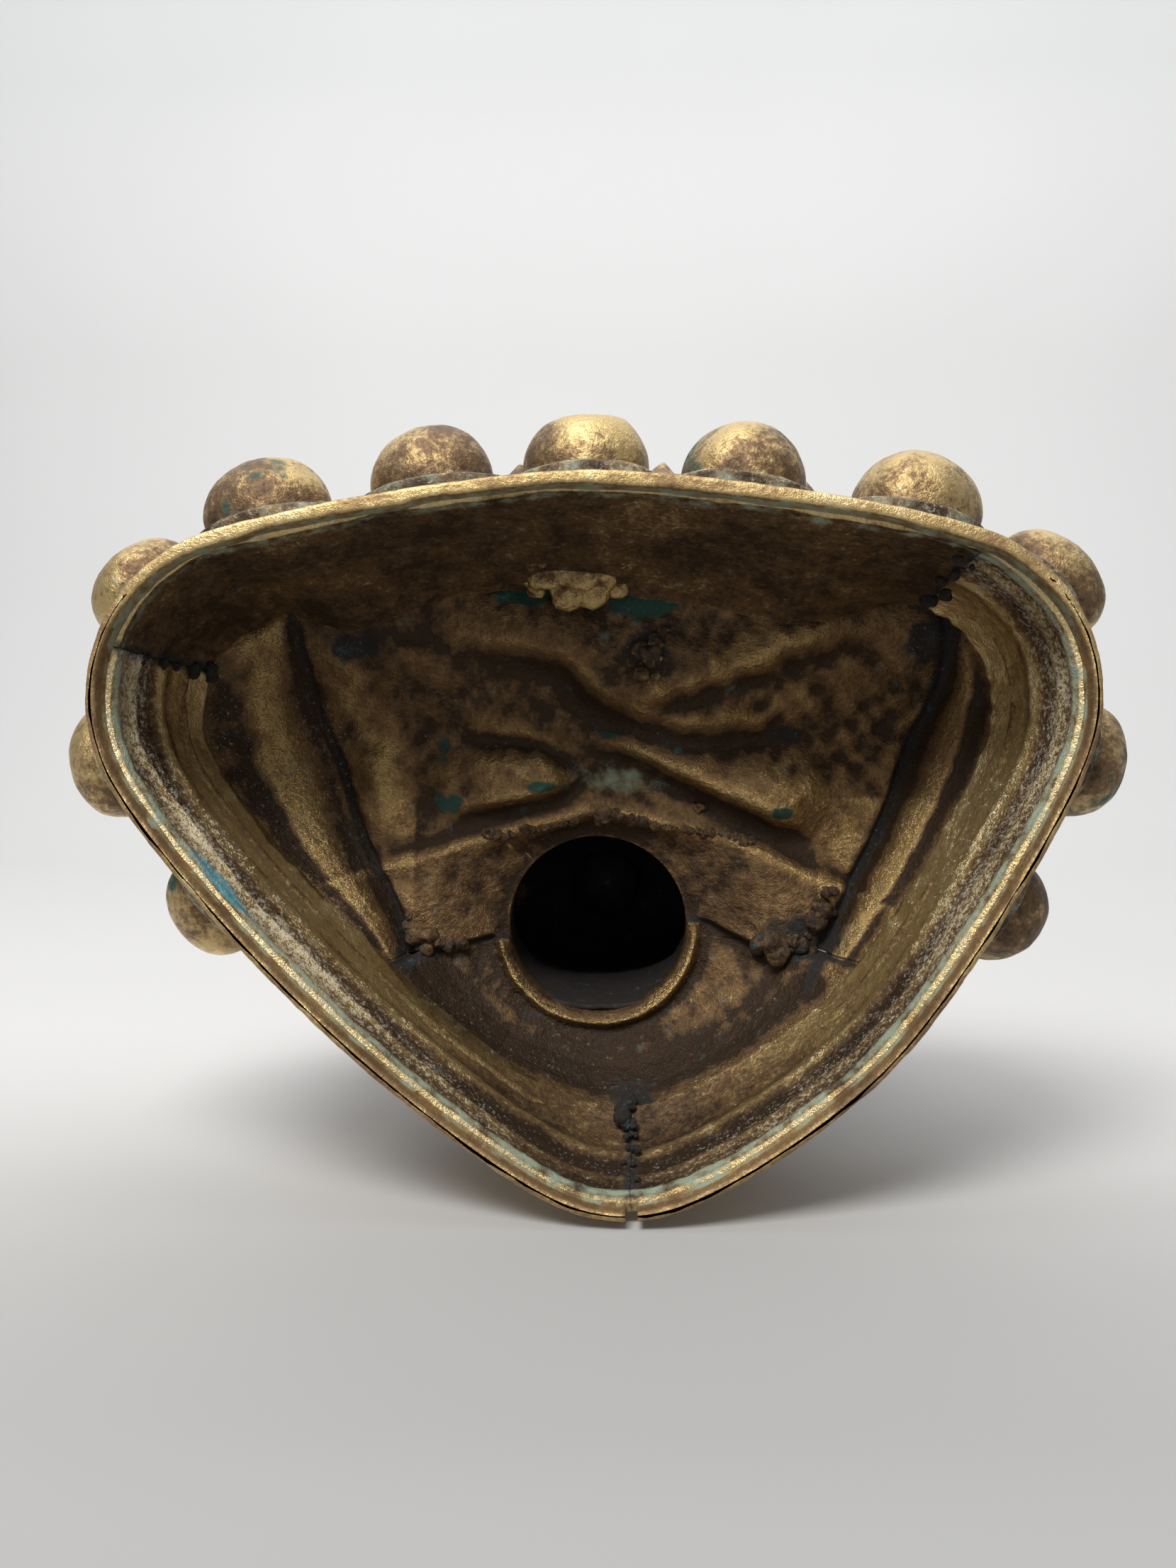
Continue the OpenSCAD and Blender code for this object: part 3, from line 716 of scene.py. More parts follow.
def petal(angle, radius, out, seed, worn=0.0):
    """A petal: a bulb with two raised lines round its root, as a profile of (reach, height) turned about the outward
    normal and wrapped along the outline. It is a little taller than wide, and `worn` flattens its crown."""
    bulb = [(0, 1), (0.25, 0.985), (0.5, 0.91), (0.72, 0.78), (0.88, 0.6), (0.97, 0.42), (1.0, 0.27), (1.01, 0.17)]
    skirt = [(1.04, 2.2), (1.07, 3.4), (1.11, 3.6), (1.15, 2.4), (1.18, 2.0), (1.22, 2.9), (1.26, 2.7), (1.30, 1.0),
             (1.32, -1), (1.33, -2.8)]
    profile = [(r * radius, h * (out - 1) + 1) for r, h in bulb] + [(r * radius, h) for r, h in skirt]
    profile = curve_through(profile, 64)
    u = np.linspace(0, 2 * np.pi, 72, endpoint=False)[None, :]
    reach, height = profile[1:, :1], profile[1:, 1:]
    pinch = 1 - 0.06 * np.cos(3 * u + seed)
    across = reach * np.cos(u) * pinch
    above = reach * np.sin(u) * 1.06 * np.where(np.sin(u) > 0, 1.08, 0.94)
    height = np.broadcast_to(height, across.shape)
    crown = out * (1 - 0.16 * worn)
    height = np.where((worn > 0) & (height > crown), crown + (height - crown) * 0.2, height)
    middle = FootLine.along(angle - 90)
    level = 22 + above
    place = on_base(middle + across, height, level)
    place = on_base(middle + across, height + 0.22 * rough(place, 5, seed), np.maximum(level, 4.6))
    tip = on_base(np.array([middle]), np.array([profile[0, 1] * (1 - 0.14 * worn)]), np.array([22.0]))
    points = np.vstack([place.reshape(-1, 3), tip])
    rows, columns = across.shape
    faces = grid_faces(rows, columns, wrap_columns=True).tolist()
    faces += [[len(points) - 1, (j + 1) % columns, j] for j in range(columns)]
    faces.append([(rows - 1) * columns + j for j in range(columns)])
    on_bulb = (reach < radius * 1.02) + 0 * across
    marks = {"rub": np.append(0.42 * on_bulb * smooth(height / out), 0.42), "dust": np.append(0.4 * (1 - on_bulb), 0),
             "verdigris": np.append(0.26 * (1 - on_bulb) + 0.06, 0.05), "soil": np.append(0.35 * (1 - on_bulb), 0),
             "dark_green": np.append(on_bulb * (0.2 + 0.46 * smooth(rough(place, 7, seed + 60) + 0.3)) * (seed % 3 == 2), 0)}
    return points, [f[::-1] for f in faces], marks


def make_petals():
    """The three groups of lotus petals, each at its angles from the front."""
    groups = [("front_petals", [(a, 14.2, 18.0, 11 + i, 1.0 * (i == 2)) for i, a in enumerate(FRONT_PETALS)]),
              ("left_petals", [(-a, 12.3, 14.5, 21 + i) for i, a in enumerate(SIDE_PETALS)]),
              ("right_petals", [(a, 12.3, 14.5, 31 + i) for i, a in enumerate(SIDE_PETALS)])]
    for name, petals in groups:
        mesh = joined(name, [petal(*p) for p in petals])
        add_piece(name, mesh, finish("petal_brass"), "petal_brass", name)


def make_petal_tips():
    """The small leaves: a pointed oval with a raised spine, wrapped on the outline and leaning outwards as it rises."""
    parts = []
    for angle in [s * a for a in TIPS for s in (1, -1)]:
        u = np.linspace(0, 2 * np.pi, 28, endpoint=False)[None, :]
        v = np.linspace(0, 1, 22)[:, None]
        wide = 4.3 * np.sin(np.pi * np.clip(v * 0.82 + 0.18, 0, 1)) ** 0.6 + 0.25
        across = wide * np.cos(u)
        lean = -2.5 + 12.5 * v ** 1.15
        height = lean + wide * 0.62 * np.sin(u) + 0.7 * bump(across, 1.0) * (np.sin(u) > 0)
        place = on_base(FootLine.along(angle - 90) + across, height, 23 + 14 * v + 0 * u)
        parts.append((place.reshape(-1, 3), closed_loops(place), {"rub": 0.35 * v + 0 * u, "soil": 0.6 * (1 - v) + 0 * u}))
    add_piece("petal_tips", joined("petal_tips", parts), finish("petal_brass"), "petal_brass", "petal_tips")


# ---------------------------------------------------------------- the hollow castings

def hollow_marks(place):
    """Where the hollow is bare, soiled, burnt or green, from the places of its creases, braze and plugs; its raised
    relief, the strips on the slopes outside the creases and the lobes also get painted highlights, and its sunken
    relief painted shade.
    """
    x, y, z = place[..., 0], place[..., 1], place[..., 2]
    left, right = (to_run(x, y, run)[0] for run in (LEFT_CREASE, RIGHT_CREASE))
    seam, arch = to_run(x, y, HIP_SEAM)[0], to_run(x, y, LAP_ARCH)[0]
    # Painted light from the relief: a point nearer than the mean of its neighbours gets a painted highlight, a sunken
    # one painted shade.
    reach = 4.0
    around = sum(hollow_z(x + dx, y + dy) for dx, dy in ((reach, 0), (-reach, 0), (0, reach), (0, -reach))) / 4
    raised = np.clip(around - z, -1.6, 1.6)
    cracks = np.maximum.reduce([0.5 * bump(left, 1.2), 0.6 * bump(right, 1.6), 0.5 * bump(seam, 1.0)])
    green = sum(s * bump(np.hypot((x - cx) / wx, (y - cy) / wy), 1) for cx, cy, wx, wy, s in
                [(-19, -55, 9, 6, 1.0), (12, -52, 10, 6, 1.0), (-41, 1, 6, 4, 0.9), (-14, -3, 8, 1.8, 0.9),
                 (50, 4, 5, 2.5, 0.8), (-42, -13, 3, 7, 0.7), (2, -17, 8, 2, 0.6)])
    pale = bump(np.hypot((x - 6) / 13, (y + 5) / 7), 1)
    burnt = sum(bump(np.hypot((x - cx) / wx, (y - cy) / wy), 1) for cx, cy, wx, wy in
                [(-64, -42, 9, 6), (14, -38, 6, 6), (51, -17, 5, 3), (-49, 42, 7, 4), (55, 37, 10, 5), (11, 79, 7, 3),
                 (87, -42, 6, 8)])
    burnt = burnt * (0.75 + 0.4 * rough(place, 6, 95))
    # Painted highlight: bright strips on the slopes outside the left and right creases, where the light falls.
    strip = bump(left - 11, 6) * (x < -50) + 0.9 * bump(right - 7, 5) * (x > 60) * (y > 0)
    return {
        # Brightening: painted highlights on raised relief, the crease strips and the lobes, and on a few other patches.
        "rub": 0.45 * raised + 1.3 * strip + 0.25 * bump(np.hypot(x - 55, y + 2), 18) + 0.4 * bump(np.hypot(x + 20, y + 9), 12)
        + 0.12 * bump(arch, 3) + 0.3 * bump(np.hypot(x - 44, y + 26), 24)
        + 0.3 * smooth((y - 42) / 10) * (np.abs(x) < 40),
        # Darkening: painted shade in sunken relief, the dark cracks, a band towards the front and more towards the
        # rear.
        "soil": 0.65 * np.maximum(-raised, 0) + 0.8 * cracks + 0.25 * bump(y + 30, 16) * (x < 30)
        + 0.45 * smooth((y - 58) / 10),
        "soot": np.clip(0.95 * cracks + 0.9 * burnt, 0, 1.1),
        "dark_green": np.clip(green * (1.15 + 0.5 * rough(place, 5, 91)), 0, 1),
        "verdigris": 0.5 * pale,
        "dust": 0.1 + 0.25 * (left < 26) * (x < -60) + 0.15 * smooth((y - 45) / 10),
    }


# ---------------------------------------------------------------- the legs outside

# Round limbs of the crossed legs: start, its radius, end, its radius
LEGS = [((-28, 42, 64), 24, (-82, -16, 64), 17), ((28, 42, 64), 24, (82, -16, 64), 17),
        ((84, -19, 62), 14.5, (-24, -47, 60), 9.5), ((-84, -19, 65), 14.5, (20, -39, 71), 9.0),
        ((21, -38, 73), 7.5, (44, -26, 77), 6.5), ((-30, -48, 59), 7.0, (-56, -44, 57), 5.5)]
TOES = [((44 + 2.2 * i, -32 + 3.6 * i, 77 - 0.5 * i), 2.9 - 0.25 * i,
         (53 + 1.0 * i, -29 + 3.6 * i, 78.5 - 0.6 * i), 2.6 - 0.25 * i)
        for i in range(5)]


def limb_gap(p, a, ra, b, rb):
    """Distance from a round cone: the distance to the line between a and b, less a radius that runs from ra to rb."""
    a, b = np.array(a, float), np.array(b, float)
    t = np.clip(((p - a) @ (b - a)) / ((b - a) @ (b - a)), 0, 1)
    return np.linalg.norm(p - a - t[..., None] * (b - a), axis=-1) - ra - (rb - ra) * t


def legs_gap(p, far):
    """Distance from the legs: -log(sum(exp(-k * d))) / k over the limbs, a mound, the hips and a rounded cushion whose
    side stands at `far` from the torso's axis."""
    gaps = [limb_gap(p, *limb) for limb in LEGS + TOES]
    for centre, radii in (((0, 14, 60), (66, 52, 23)), ((0, 46, 62), (48, 34, 24))):
        q = (p - np.array(centre, float)) / np.array(radii, float)
        gaps.append((np.linalg.norm(q, axis=-1) - 1) * min(radii))
    away = np.hypot(p[..., 0] - TORSO_AXIS[0], p[..., 1] - TORSO_AXIS[1])
    gaps.append(np.hypot(np.maximum(away - far + 8, 0), np.maximum(p[..., 2] - 53, 0)) - 8)
    gaps = np.stack(gaps)
    low = gaps.min(0)
    return low - np.log(np.exp(-0.6 * (gaps - low)).sum(0)) / 0.6


def legs_outside(angle, rows):
    """The legs' outer side as a grid: along rays from the torso's axis at the deck, each stopped where it meets
    legs_gap = 0 by stepping inwards a gap at a time, then folded in robe pleats."""
    lift = np.radians(np.linspace(55, 0, rows))[:, None]
    ray = np.stack(np.broadcast_arrays(np.cos(lift) * np.cos(angle), np.cos(lift) * np.sin(angle), np.sin(lift)), -1)
    start = np.array([*TORSO_AXIS, DECK_Z])
    far = seat_reach(np.degrees(angle)) + 4 + 0 * lift
    run = np.full(ray.shape[:2], 175.0)
    for _ in range(46):
        run -= 0.92 * legs_gap(start + ray * run[..., None], far)
    place = start + ray * run[..., None]
    shin = np.minimum(*[limb_gap(place, *LEGS[i]) for i in (2, 3)])
    thigh = np.minimum(*[limb_gap(place, *LEGS[i]) for i in (0, 1)])
    foot = np.minimum(*[limb_gap(place, *LEGS[i]) for i in (4, 5)])
    cloth = smooth((foot - 1.5) / 2.5)
    pleat = 0.55 * np.cos(2 * np.pi * (place[..., 2] - 0.12 * np.abs(place[..., 0])) / 5.4) * smooth((76 - place[..., 2]) / 8)
    pleat = pleat * bump(shin - 1, 6) + 0.5 * np.cos(2 * np.pi * (place[..., 1] + 0.5 * place[..., 2]) / 7.5) * bump(thigh, 3)
    fan = bump(place[..., 0] / 24, 1) * smooth((-40 - place[..., 1]) / 12) * smooth((66 - place[..., 2]) / 6)
    flare = np.arctan2(place[..., 0], 78 - place[..., 2])
    pleat += 1.1 * fan * np.abs(np.cos(flare * 9))
    place = place + ray * (cloth * pleat + 0.12 * rough(place, 4, 61))[..., None]
    flat = place[..., :2] - TORSO_AXIS
    away = np.linalg.norm(flat, axis=-1, keepdims=True)
    out = np.maximum(away, BORE_R)
    out = np.where(place[..., 2:] < 56, np.maximum(out, seat_reach(np.degrees(angle))[..., None] + 3.5), out)
    place[..., :2] = TORSO_AXIS + flat / away * out
    place[..., 2] = np.maximum(place[..., 2], DECK_Z)
    inside = hollow_z(place[..., 0], place[..., 1]) + 2.0
    place[..., 2] = np.where(out[..., 0] < far - 5, np.maximum(place[..., 2], inside), place[..., 2])
    place[0] = np.stack(np.broadcast_arrays(TORSO_AXIS[0] + BORE_R * np.cos(angle[0]),
                                            TORSO_AXIS[1] + BORE_R * np.sin(angle[0]), 84.0), -1)
    return place


def hollow_casting(name, from_angle, to_angle, columns, rows):
    """The lap's or the hips' casting, closed: its underside hollow_z over rays from the torso's mouth to the deck's edge,
    its outside legs_outside over the same rays."""
    angle = np.radians(np.linspace(from_angle, to_angle, columns))[None, :]
    share = np.linspace(0, 1, rows)[:, None]
    reach = BORE_R + (seat_reach(np.degrees(angle)) - BORE_R) * share
    x = TORSO_AXIS[0] + reach * np.cos(angle)
    y = TORSO_AXIS[1] + reach * np.sin(angle)
    lower = np.stack([x, y, hollow_z(x, y)], -1)
    upper = legs_outside(angle, rows)
    points, faces = shell(lower, upper)
    under = hollow_marks(lower)
    # Towards the deck the legs' outside is painted darker, as shade where it meets the deck, and greener with
    # verdigris; higher up it is brighter.
    hollows = smooth((66 - upper[..., 2]) / 12)
    over = {"rub": 0.25 * smooth((upper[..., 2] - 66) / 12), "soil": 0.35 * hollows, "dust": 0.1 + 0 * hollows,
            "verdigris": 0.25 * hollows}
    marks = {k: np.concatenate([np.ravel(v), np.ravel(over.get(k, np.zeros(upper.shape[:2])))]) for k, v in under.items()}
    add_piece(name, make_mesh(name, points, faces, marks), finish("hollow_brass"), "figure_brass", name)


def blobs(places, seed, squash=0.8, lump=0.32):
    """Drops of braze: rough balls at (x, y, radius) on the hollow's underside, or at (x, y, z, radius)."""
    parts = []
    for i, p in enumerate(places):
        x, y, radius = p[0], p[1], p[-1]
        z = p[2] if len(p) == 4 else float(hollow_z(np.array([float(x)]), np.array([float(y)]))[0])
        parts.append(ball((x, y, z), (radius, radius, radius * squash), seed + i, lump))
    return parts


def make_braze():
    """Runs of braze: each is a chain of blobs whose sizes and gaps vary by a seeded draw."""
    draw = np.random.default_rng(5)

    def chain(run, count, size, spread):
        """Blobs along a run: x, y and radius of each, drifting off the line by a normal draw."""
        line = curve_through(run, count)
        drift = draw.normal(0, spread, (count, 2))
        radius = size * draw.uniform(0.4, 1.4, count)
        return [(*(p[:2] + d), r) for p, d, r in zip(line, drift, radius)]

    arch = chain(LAP_ARCH[8:38], 46, 1.15, 0.5) + [(2, 5, 2.9), (28, 3, 2.0), (42, 12, 1.6)]
    left = chain([(-52, 33), (-50, 38), (-45, 41), (-39, 41)], 9, 2.3, 0.7) + [(-46, 38, 3.2)]
    right = chain([(64, 26), (60, 33), (57, 38), (50, 42), (42, 40)], 16, 2.3, 1.3) + [(61, 30, 3.2), (48, 40, 3.0)]
    for name, places, seed in (("lap_arch_braze", arch, 100), ("left_hip_braze", left, 200), ("right_hip_braze", right, 300)):
        worn = 0.2 if name == "lap_arch_braze" else 0.0
        parts = [(p, f, {"rub": np.full(len(p), worn), "soot": np.full(len(p), 0.3), "soil": np.full(len(p), 0.25)})
                 for p, f, _ in blobs(places, seed)]
        add_piece(name, joined(name, parts), finish("braze"), "braze", name)

    seams = [("rear_seam_braze", REAR_SEAM, [(12.6, 45.5, 2.2), (11.5, 42, 2.4), (9.5, 39, 1.6), (7.6, 35, 1.3), (7.2, 28, 1.0),
                                             (5.4, 21, 0.9), (5.2, 14, 0.8)], 2.2),
             ("left_corner_braze", LEFT_SEAM, [(10.6, 44, 1.8), (8.8, 38, 1.8), (7.4, 31, 1.3), (6.4, 24, 1.1), (5.6, 16, 1.0)], 1.4),
             ("right_corner_braze", RIGHT_SEAM, [(10.5, 46, 2.2), (10.2, 40, 1.9), (9.2, 33, 1.7), (8.0, 26, 1.5), (7, 19, 1.3),
                                                 (6, 12, 1.1)], 1.6)]
    for k, (name, angle, places, spread) in enumerate(seams):
        parts = []
        for i, (inset, z, radius) in enumerate(places):
            for j in range(3):
                at = on_base(FootLine.along(angle) + draw.normal(0, spread), -inset, z + draw.normal(0, 1.2))
                points, faces, _ = ball(at, np.full(3, radius * draw.uniform(0.5, 1)), 400 + 50 * k + 3 * i + j, 0.35)
                parts.append((points, faces, {"soot": np.full(len(points), 0.65), "soil": np.full(len(points), 0.5)}))
        add_piece(name, joined(name, parts), finish("braze"), "braze", name)


def make_vent_plugs():
    """The two lumps: a few rough balls run together in a ring of crust."""
    draw = np.random.default_rng(9)
    lump = [(-11, -58, 46.5, 5.0), (-5, -59, 46, 5.6), (1.5, -58, 46.5, 5.2), (-7, -55, 48.5, 5.6), (-1, -55, 48.5, 5.4),
            (6, -55.5, 49, 3.4), (-15, -55.5, 49, 3.0)]
    crust = [(-15 + 2.3 * i, -64.5 + 0.5 * abs(i - 5) ** 1.4 + draw.normal(0, 0.5), 41.5 + draw.normal(0, 0.5), draw.uniform(1.0, 2.4))
             for i in range(11)]
    parts = [(p, f, {"rub": np.full(len(p), 0.35)}) for p, f, _ in blobs(lump, 500, 0.5, 0.3)]
    parts += [(p, f, {"soil": np.full(len(p), 0.5)}) for p, f, _ in blobs(crust, 520, 0.8, 0.5)]
    add_piece("front_vent_plug", joined("front_vent_plug", parts), finish("plug_brass"), "plug_brass", "front_vent_plug")
    second = [(14, -37, 3.2), (16, -41, 2.8), (12.5, -33, 2.8), (15, -32, 2.0), (17, -37, 2.0), (12, -39, 2.2), (18, -44, 1.6)]
    parts = [(p, f, {"soil": np.full(len(p), 0.45), "soot": np.full(len(p), 0.3)}) for p, f, _ in blobs(second, 540, 0.8, 0.45)]
    add_piece("lap_vent_plug", joined("lap_vent_plug", parts), finish("plug_brass"), "plug_brass", "lap_vent_plug")


# ---------------------------------------------------------------- the figure

TORSO_LOW = node_box("torso_front")[0][2]
SHOULDER_Z = TORSO_LOW + (node_box("torso_front")[1][2] - TORSO_LOW) / 1.09
HEAD_MID = np.array([0.0, node_box("hair_knot")[0][1] + (node_box("hair_knot")[1][1] - node_box("hair_knot")[0][1]) / 2, 221.0])
HANDS = np.array([0.0, (node_box("kalash_pot")[0][1] + node_box("kalash_pot")[1][1]) / 2, node_box("kalash_pot")[0][2]])
# How far the shell's inside is set down at its foot, so the ring at the opening is closed and thick
BORE_Z_GAP = 6.0
# The torso's rings: level, half width, depth in front, depth behind
TORSO = [(0, 34, 29, 27), (0.14, 30.5, 28.5, 25), (0.3, 31.5, 29, 25), (0.5, 36, 30, 27), (0.68, 41, 31, 28), (0.82, 45, 29, 27),
         (0.93, 44, 23, 23), (1.0, 33, 17, 18), (1.05, 20, 14, 14), (1.09, 14, 13, 13)]


def torso_half(name, from_angle, to_angle):
    """Half of the torso as a closed shell. The outside is an oval whose width and depth follow rings up the body, with the
    chest, belly and navel as bells, and a robe that covers all below a slanting hem, with pleats beside the hem."""
    angle = np.radians(np.linspace(from_angle, to_angle, 190))[None, :]
    share = np.linspace(0, 1.09, 190)[:, None]
    rings = curve_through(TORSO, 400)
    wide, ahead, behind = (np.interp(share, rings[:, 0], rings[:, i]) for i in (1, 2, 3))
    deep = np.where(np.sin(angle) < 0, ahead, behind)
    power = 2.25
    reach = (np.abs(np.cos(angle) / wide) ** power + np.abs(np.sin(angle) / deep) ** power) ** (-1 / power)
    turn = np.degrees(angle) + 0 * share
    front = (turn < 0).astype(float)
    relief = front * sum(h * np.exp(-((turn + 90 - a) / wa) ** 2 - ((share - s) / ws) ** 2) for a, wa, s, ws, h in
                         [(-30, 24, 0.7, 0.1, 2.4), (30, 24, 0.7, 0.1, 2.4), (0, 40, 0.22, 0.13, 1.8), (0, 5, 0.2, 0.022, -1.8),
                          (0, 5, 0.72, 0.12, -0.9)])
    relief = relief - 1.4 * (1 - front) * bump(turn - 90, 10) * smooth((0.9 - share) / 0.2)
    hem = 0.22 + np.where(turn < 0, turn + 180, 180 - turn) / 108 * 0.74
    below = (hem - share) * 92
    robe = smooth(below / 1.2 + 0.5)
    relief = relief + robe * (1.0 + 0.7 * bump(below - 3.2, 0.8) + 0.55 * bump(below - 1.2, 0.5))
    pleats = 0.5 + 0.5 * np.cos(2 * np.pi * (below - 7) / (6.2 + 0.03 * below))
    relief = relief + robe * smooth((below - 4) / 3) * 0.95 * pleats ** 1.6 * (0.6 + 0.4 * np.cos(np.radians(turn) * 3))
    z = TORSO_LOW + (SHOULDER_Z - TORSO_LOW) * share + 0 * angle
    out = reach + relief
    outer = np.stack([out * np.cos(angle) + TORSO_AXIS[0], out * np.sin(angle) + TORSO_AXIS[1], z], -1)
    outer += 0.1 * rough(outer, 4, 71)[..., None]
    bore = np.maximum(np.minimum(reach - 4, BORE_R + 0.4 + 30 * smooth((share - 0.02) * 5)), 8)
    inner_z = z - (BORE_Z_GAP * (1 - smooth(share / 0.06)))
    inner = np.stack([bore * np.cos(angle) + TORSO_AXIS[0], bore * np.sin(angle) + TORSO_AXIS[1], inner_z], -1)
    inner += 0.35 * rough(inner, 7, 73)[..., None]
    points, faces = shell(inner, outer)
    inside = np.ones(inner.shape[:2])
    # The whole inside is painted near black as shade, so the torso's mouth reads as a dark hole; the valleys between
    # the robe's pleats get painted shade.
    marks = {"soot": (inside, 0 * inside), "soil": (inside, 0.3 * (1 - pleats) * robe),
             "rub": (0 * inside, 0.25 * (1 - robe) + 0.1)}
    marks = {k: np.concatenate([np.ravel(v[0]), np.ravel(v[1])]) for k, v in marks.items()}
    add_piece(name, make_mesh(name, points, faces, marks), finish("figure_brass"), "figure_brass", name)


# The right arm (+X): x, y, z and radius from the shoulder to the wrist
ARM = [(33, 37, 167, 6), (42, 37, 164.5, 10), (49, 37, 158.5, 11.6), (55, 36.5, 149, 12), (60, 34, 135, 11),
       (62, 28, 119, 10.6), (60, 20, 110, 10.6), (50, 6, 105, 10), (38, -4, 101, 8.6), (29, -9, 98.5, 7), (22, -12, 96.5, 6.4)]


def make_arm(name, side):
    """An arm: rings carried along a smooth path. The clothed one has a sleeve with slanting pleats and a hem at the elbow;
    the bare one has a band above its elbow, and both have a bracelet."""
    path = curve_through([(side * x, y, z, r) for x, y, z, r in ARM], 150)
    points, faces, _ = tube(path[:, :3], path[:, 3], 56, 1.0, (0, 1, 0.1))
    rings = points.reshape(-1, 56, 3)
    count = len(rings)
    share = np.linspace(0, 1, count)[:, None]
    u = np.linspace(0, 2 * np.pi, 56, endpoint=False)[None, :]
    middle = rings.mean(1, keepdims=True)
    out = (rings - middle) / np.maximum(np.linalg.norm(rings - middle, axis=-1, keepdims=True), 1e-6)
    bracelet = 1.1 * bump(share - 0.93, 0.012) + 0.5 * bump(share - 0.905, 0.006)
    if side > 0:
        sleeve = smooth((0.66 - share) / 0.02)
        relief = (sleeve * (1.3 + 0.9 * np.cos(u + share * 26 + 0.8 * np.sin(2 * u)) * smooth(share * 5))
                  + 0.9 * bump(share - 0.645, 0.01))
    else:
        relief = 1.2 * bump(share - 0.3, 0.02) + 0.7 * bump(share - 0.27, 0.006) + 0.7 * bump(share - 0.33, 0.006) + 0 * u
        relief = relief + 1.0 * bump(share - 0.18, 0.1) * np.cos(u)
    keep = (np.linalg.norm(rings - middle, axis=-1, keepdims=True) > 3)
    rings = rings + out * (relief + bracelet + 0 * u)[..., None] * keep + 0.1 * rough(rings, 4, 81)[..., None]
    mesh = make_mesh(name, rings.reshape(-1, 3), faces, {"rub": 0.2 + 0 * share + 0 * u, "soil": 0.3 * (relief < 0.4) + 0 * u})
    add_piece(name, mesh, finish("figure_brass"), "figure_brass", name)


def make_hands():
    """The joined hands under the pot: flattened balls for the palms, and tapered tubes for the fingers and thumbs."""
    _, y0, z0 = HANDS
    parts = []
    for side, z in ((-1, z0 - 4.6), (1, z0 - 8.4)):
        parts.append(ball((side * 13, y0 + 1, z), (12, 9.5, 4.4), 3, 0.03, 24, 40))
        parts.append(ball((side * 20, y0 + 3, z + 0.6), (6.5, 6.5, 5.6), 4, 0.03, 24, 40))
        for j in range(4):
            y = y0 - 6.2 + 4.1 * j
            reach = (17.5, 19.5, 18.5, 15.5)[j]
            line = curve_through([(side * 5, y, z), (-side * 3, y - 0.3, z - 0.5), (-side * 11, y + 0.2, z - 0.6),
                                  (-side * reach, y + 1, z + 0.2)], 26)
            size = 2.2 - 0.5 * np.linspace(0, 1, 26) ** 2 + 0.16 * np.cos(np.linspace(0, 3 * np.pi * 2, 26))
            parts.append(tube(line, size, 18, 0.95, (0, 1, 0.1)))
        line = curve_through([(side * 19, y0 - 3, z0 - 4), (side * 15, y0 - 9.5, z0 - 3.2), (side * 8, y0 - 13, z0 - 2.4),
                              (side * 1.6, y0 - 14, z0 - 2.0)], 26)
        parts.append(tube(line, np.linspace(3.0, 1.9, 26), 18, 0.95, (0, 1, 0.1)))
    parts = [(p, f, {"rub": np.full(len(p), 0.25)}) for p, f, _ in parts]
    add_piece("joined_hands", joined("joined_hands", parts), finish("figure_brass"), "figure_brass", "joined_hands")


def curls(u, v, rows, size):
    """Rows of round curls over a head, as a relief from 0 to 1: sqrt(1 - r * r) round each curl's middle, where u is the
    angle round and v the angle down from the crown, and each row holds as many curls as fit."""
    row = v / size
    line = np.floor(row)
    ring = np.maximum(np.round(2 * np.pi * np.sin((line + 0.5) * size) / size * 0.95), 3)
    at = u / (2 * np.pi) * ring + 0.5 * (line % 2)
    r = np.hypot((at - np.floor(at) - 0.5) * 2, (row - line - 0.5) * 2)
    swirl = 0.12 * np.cos(6 * r + np.arctan2(row - line - 0.5, at - np.floor(at) - 0.5))
    return np.sqrt(np.clip(1 - (r / 1.02) ** 2, 0, 1)) * (1 + swirl * (r < 0.9)) * (line < rows)


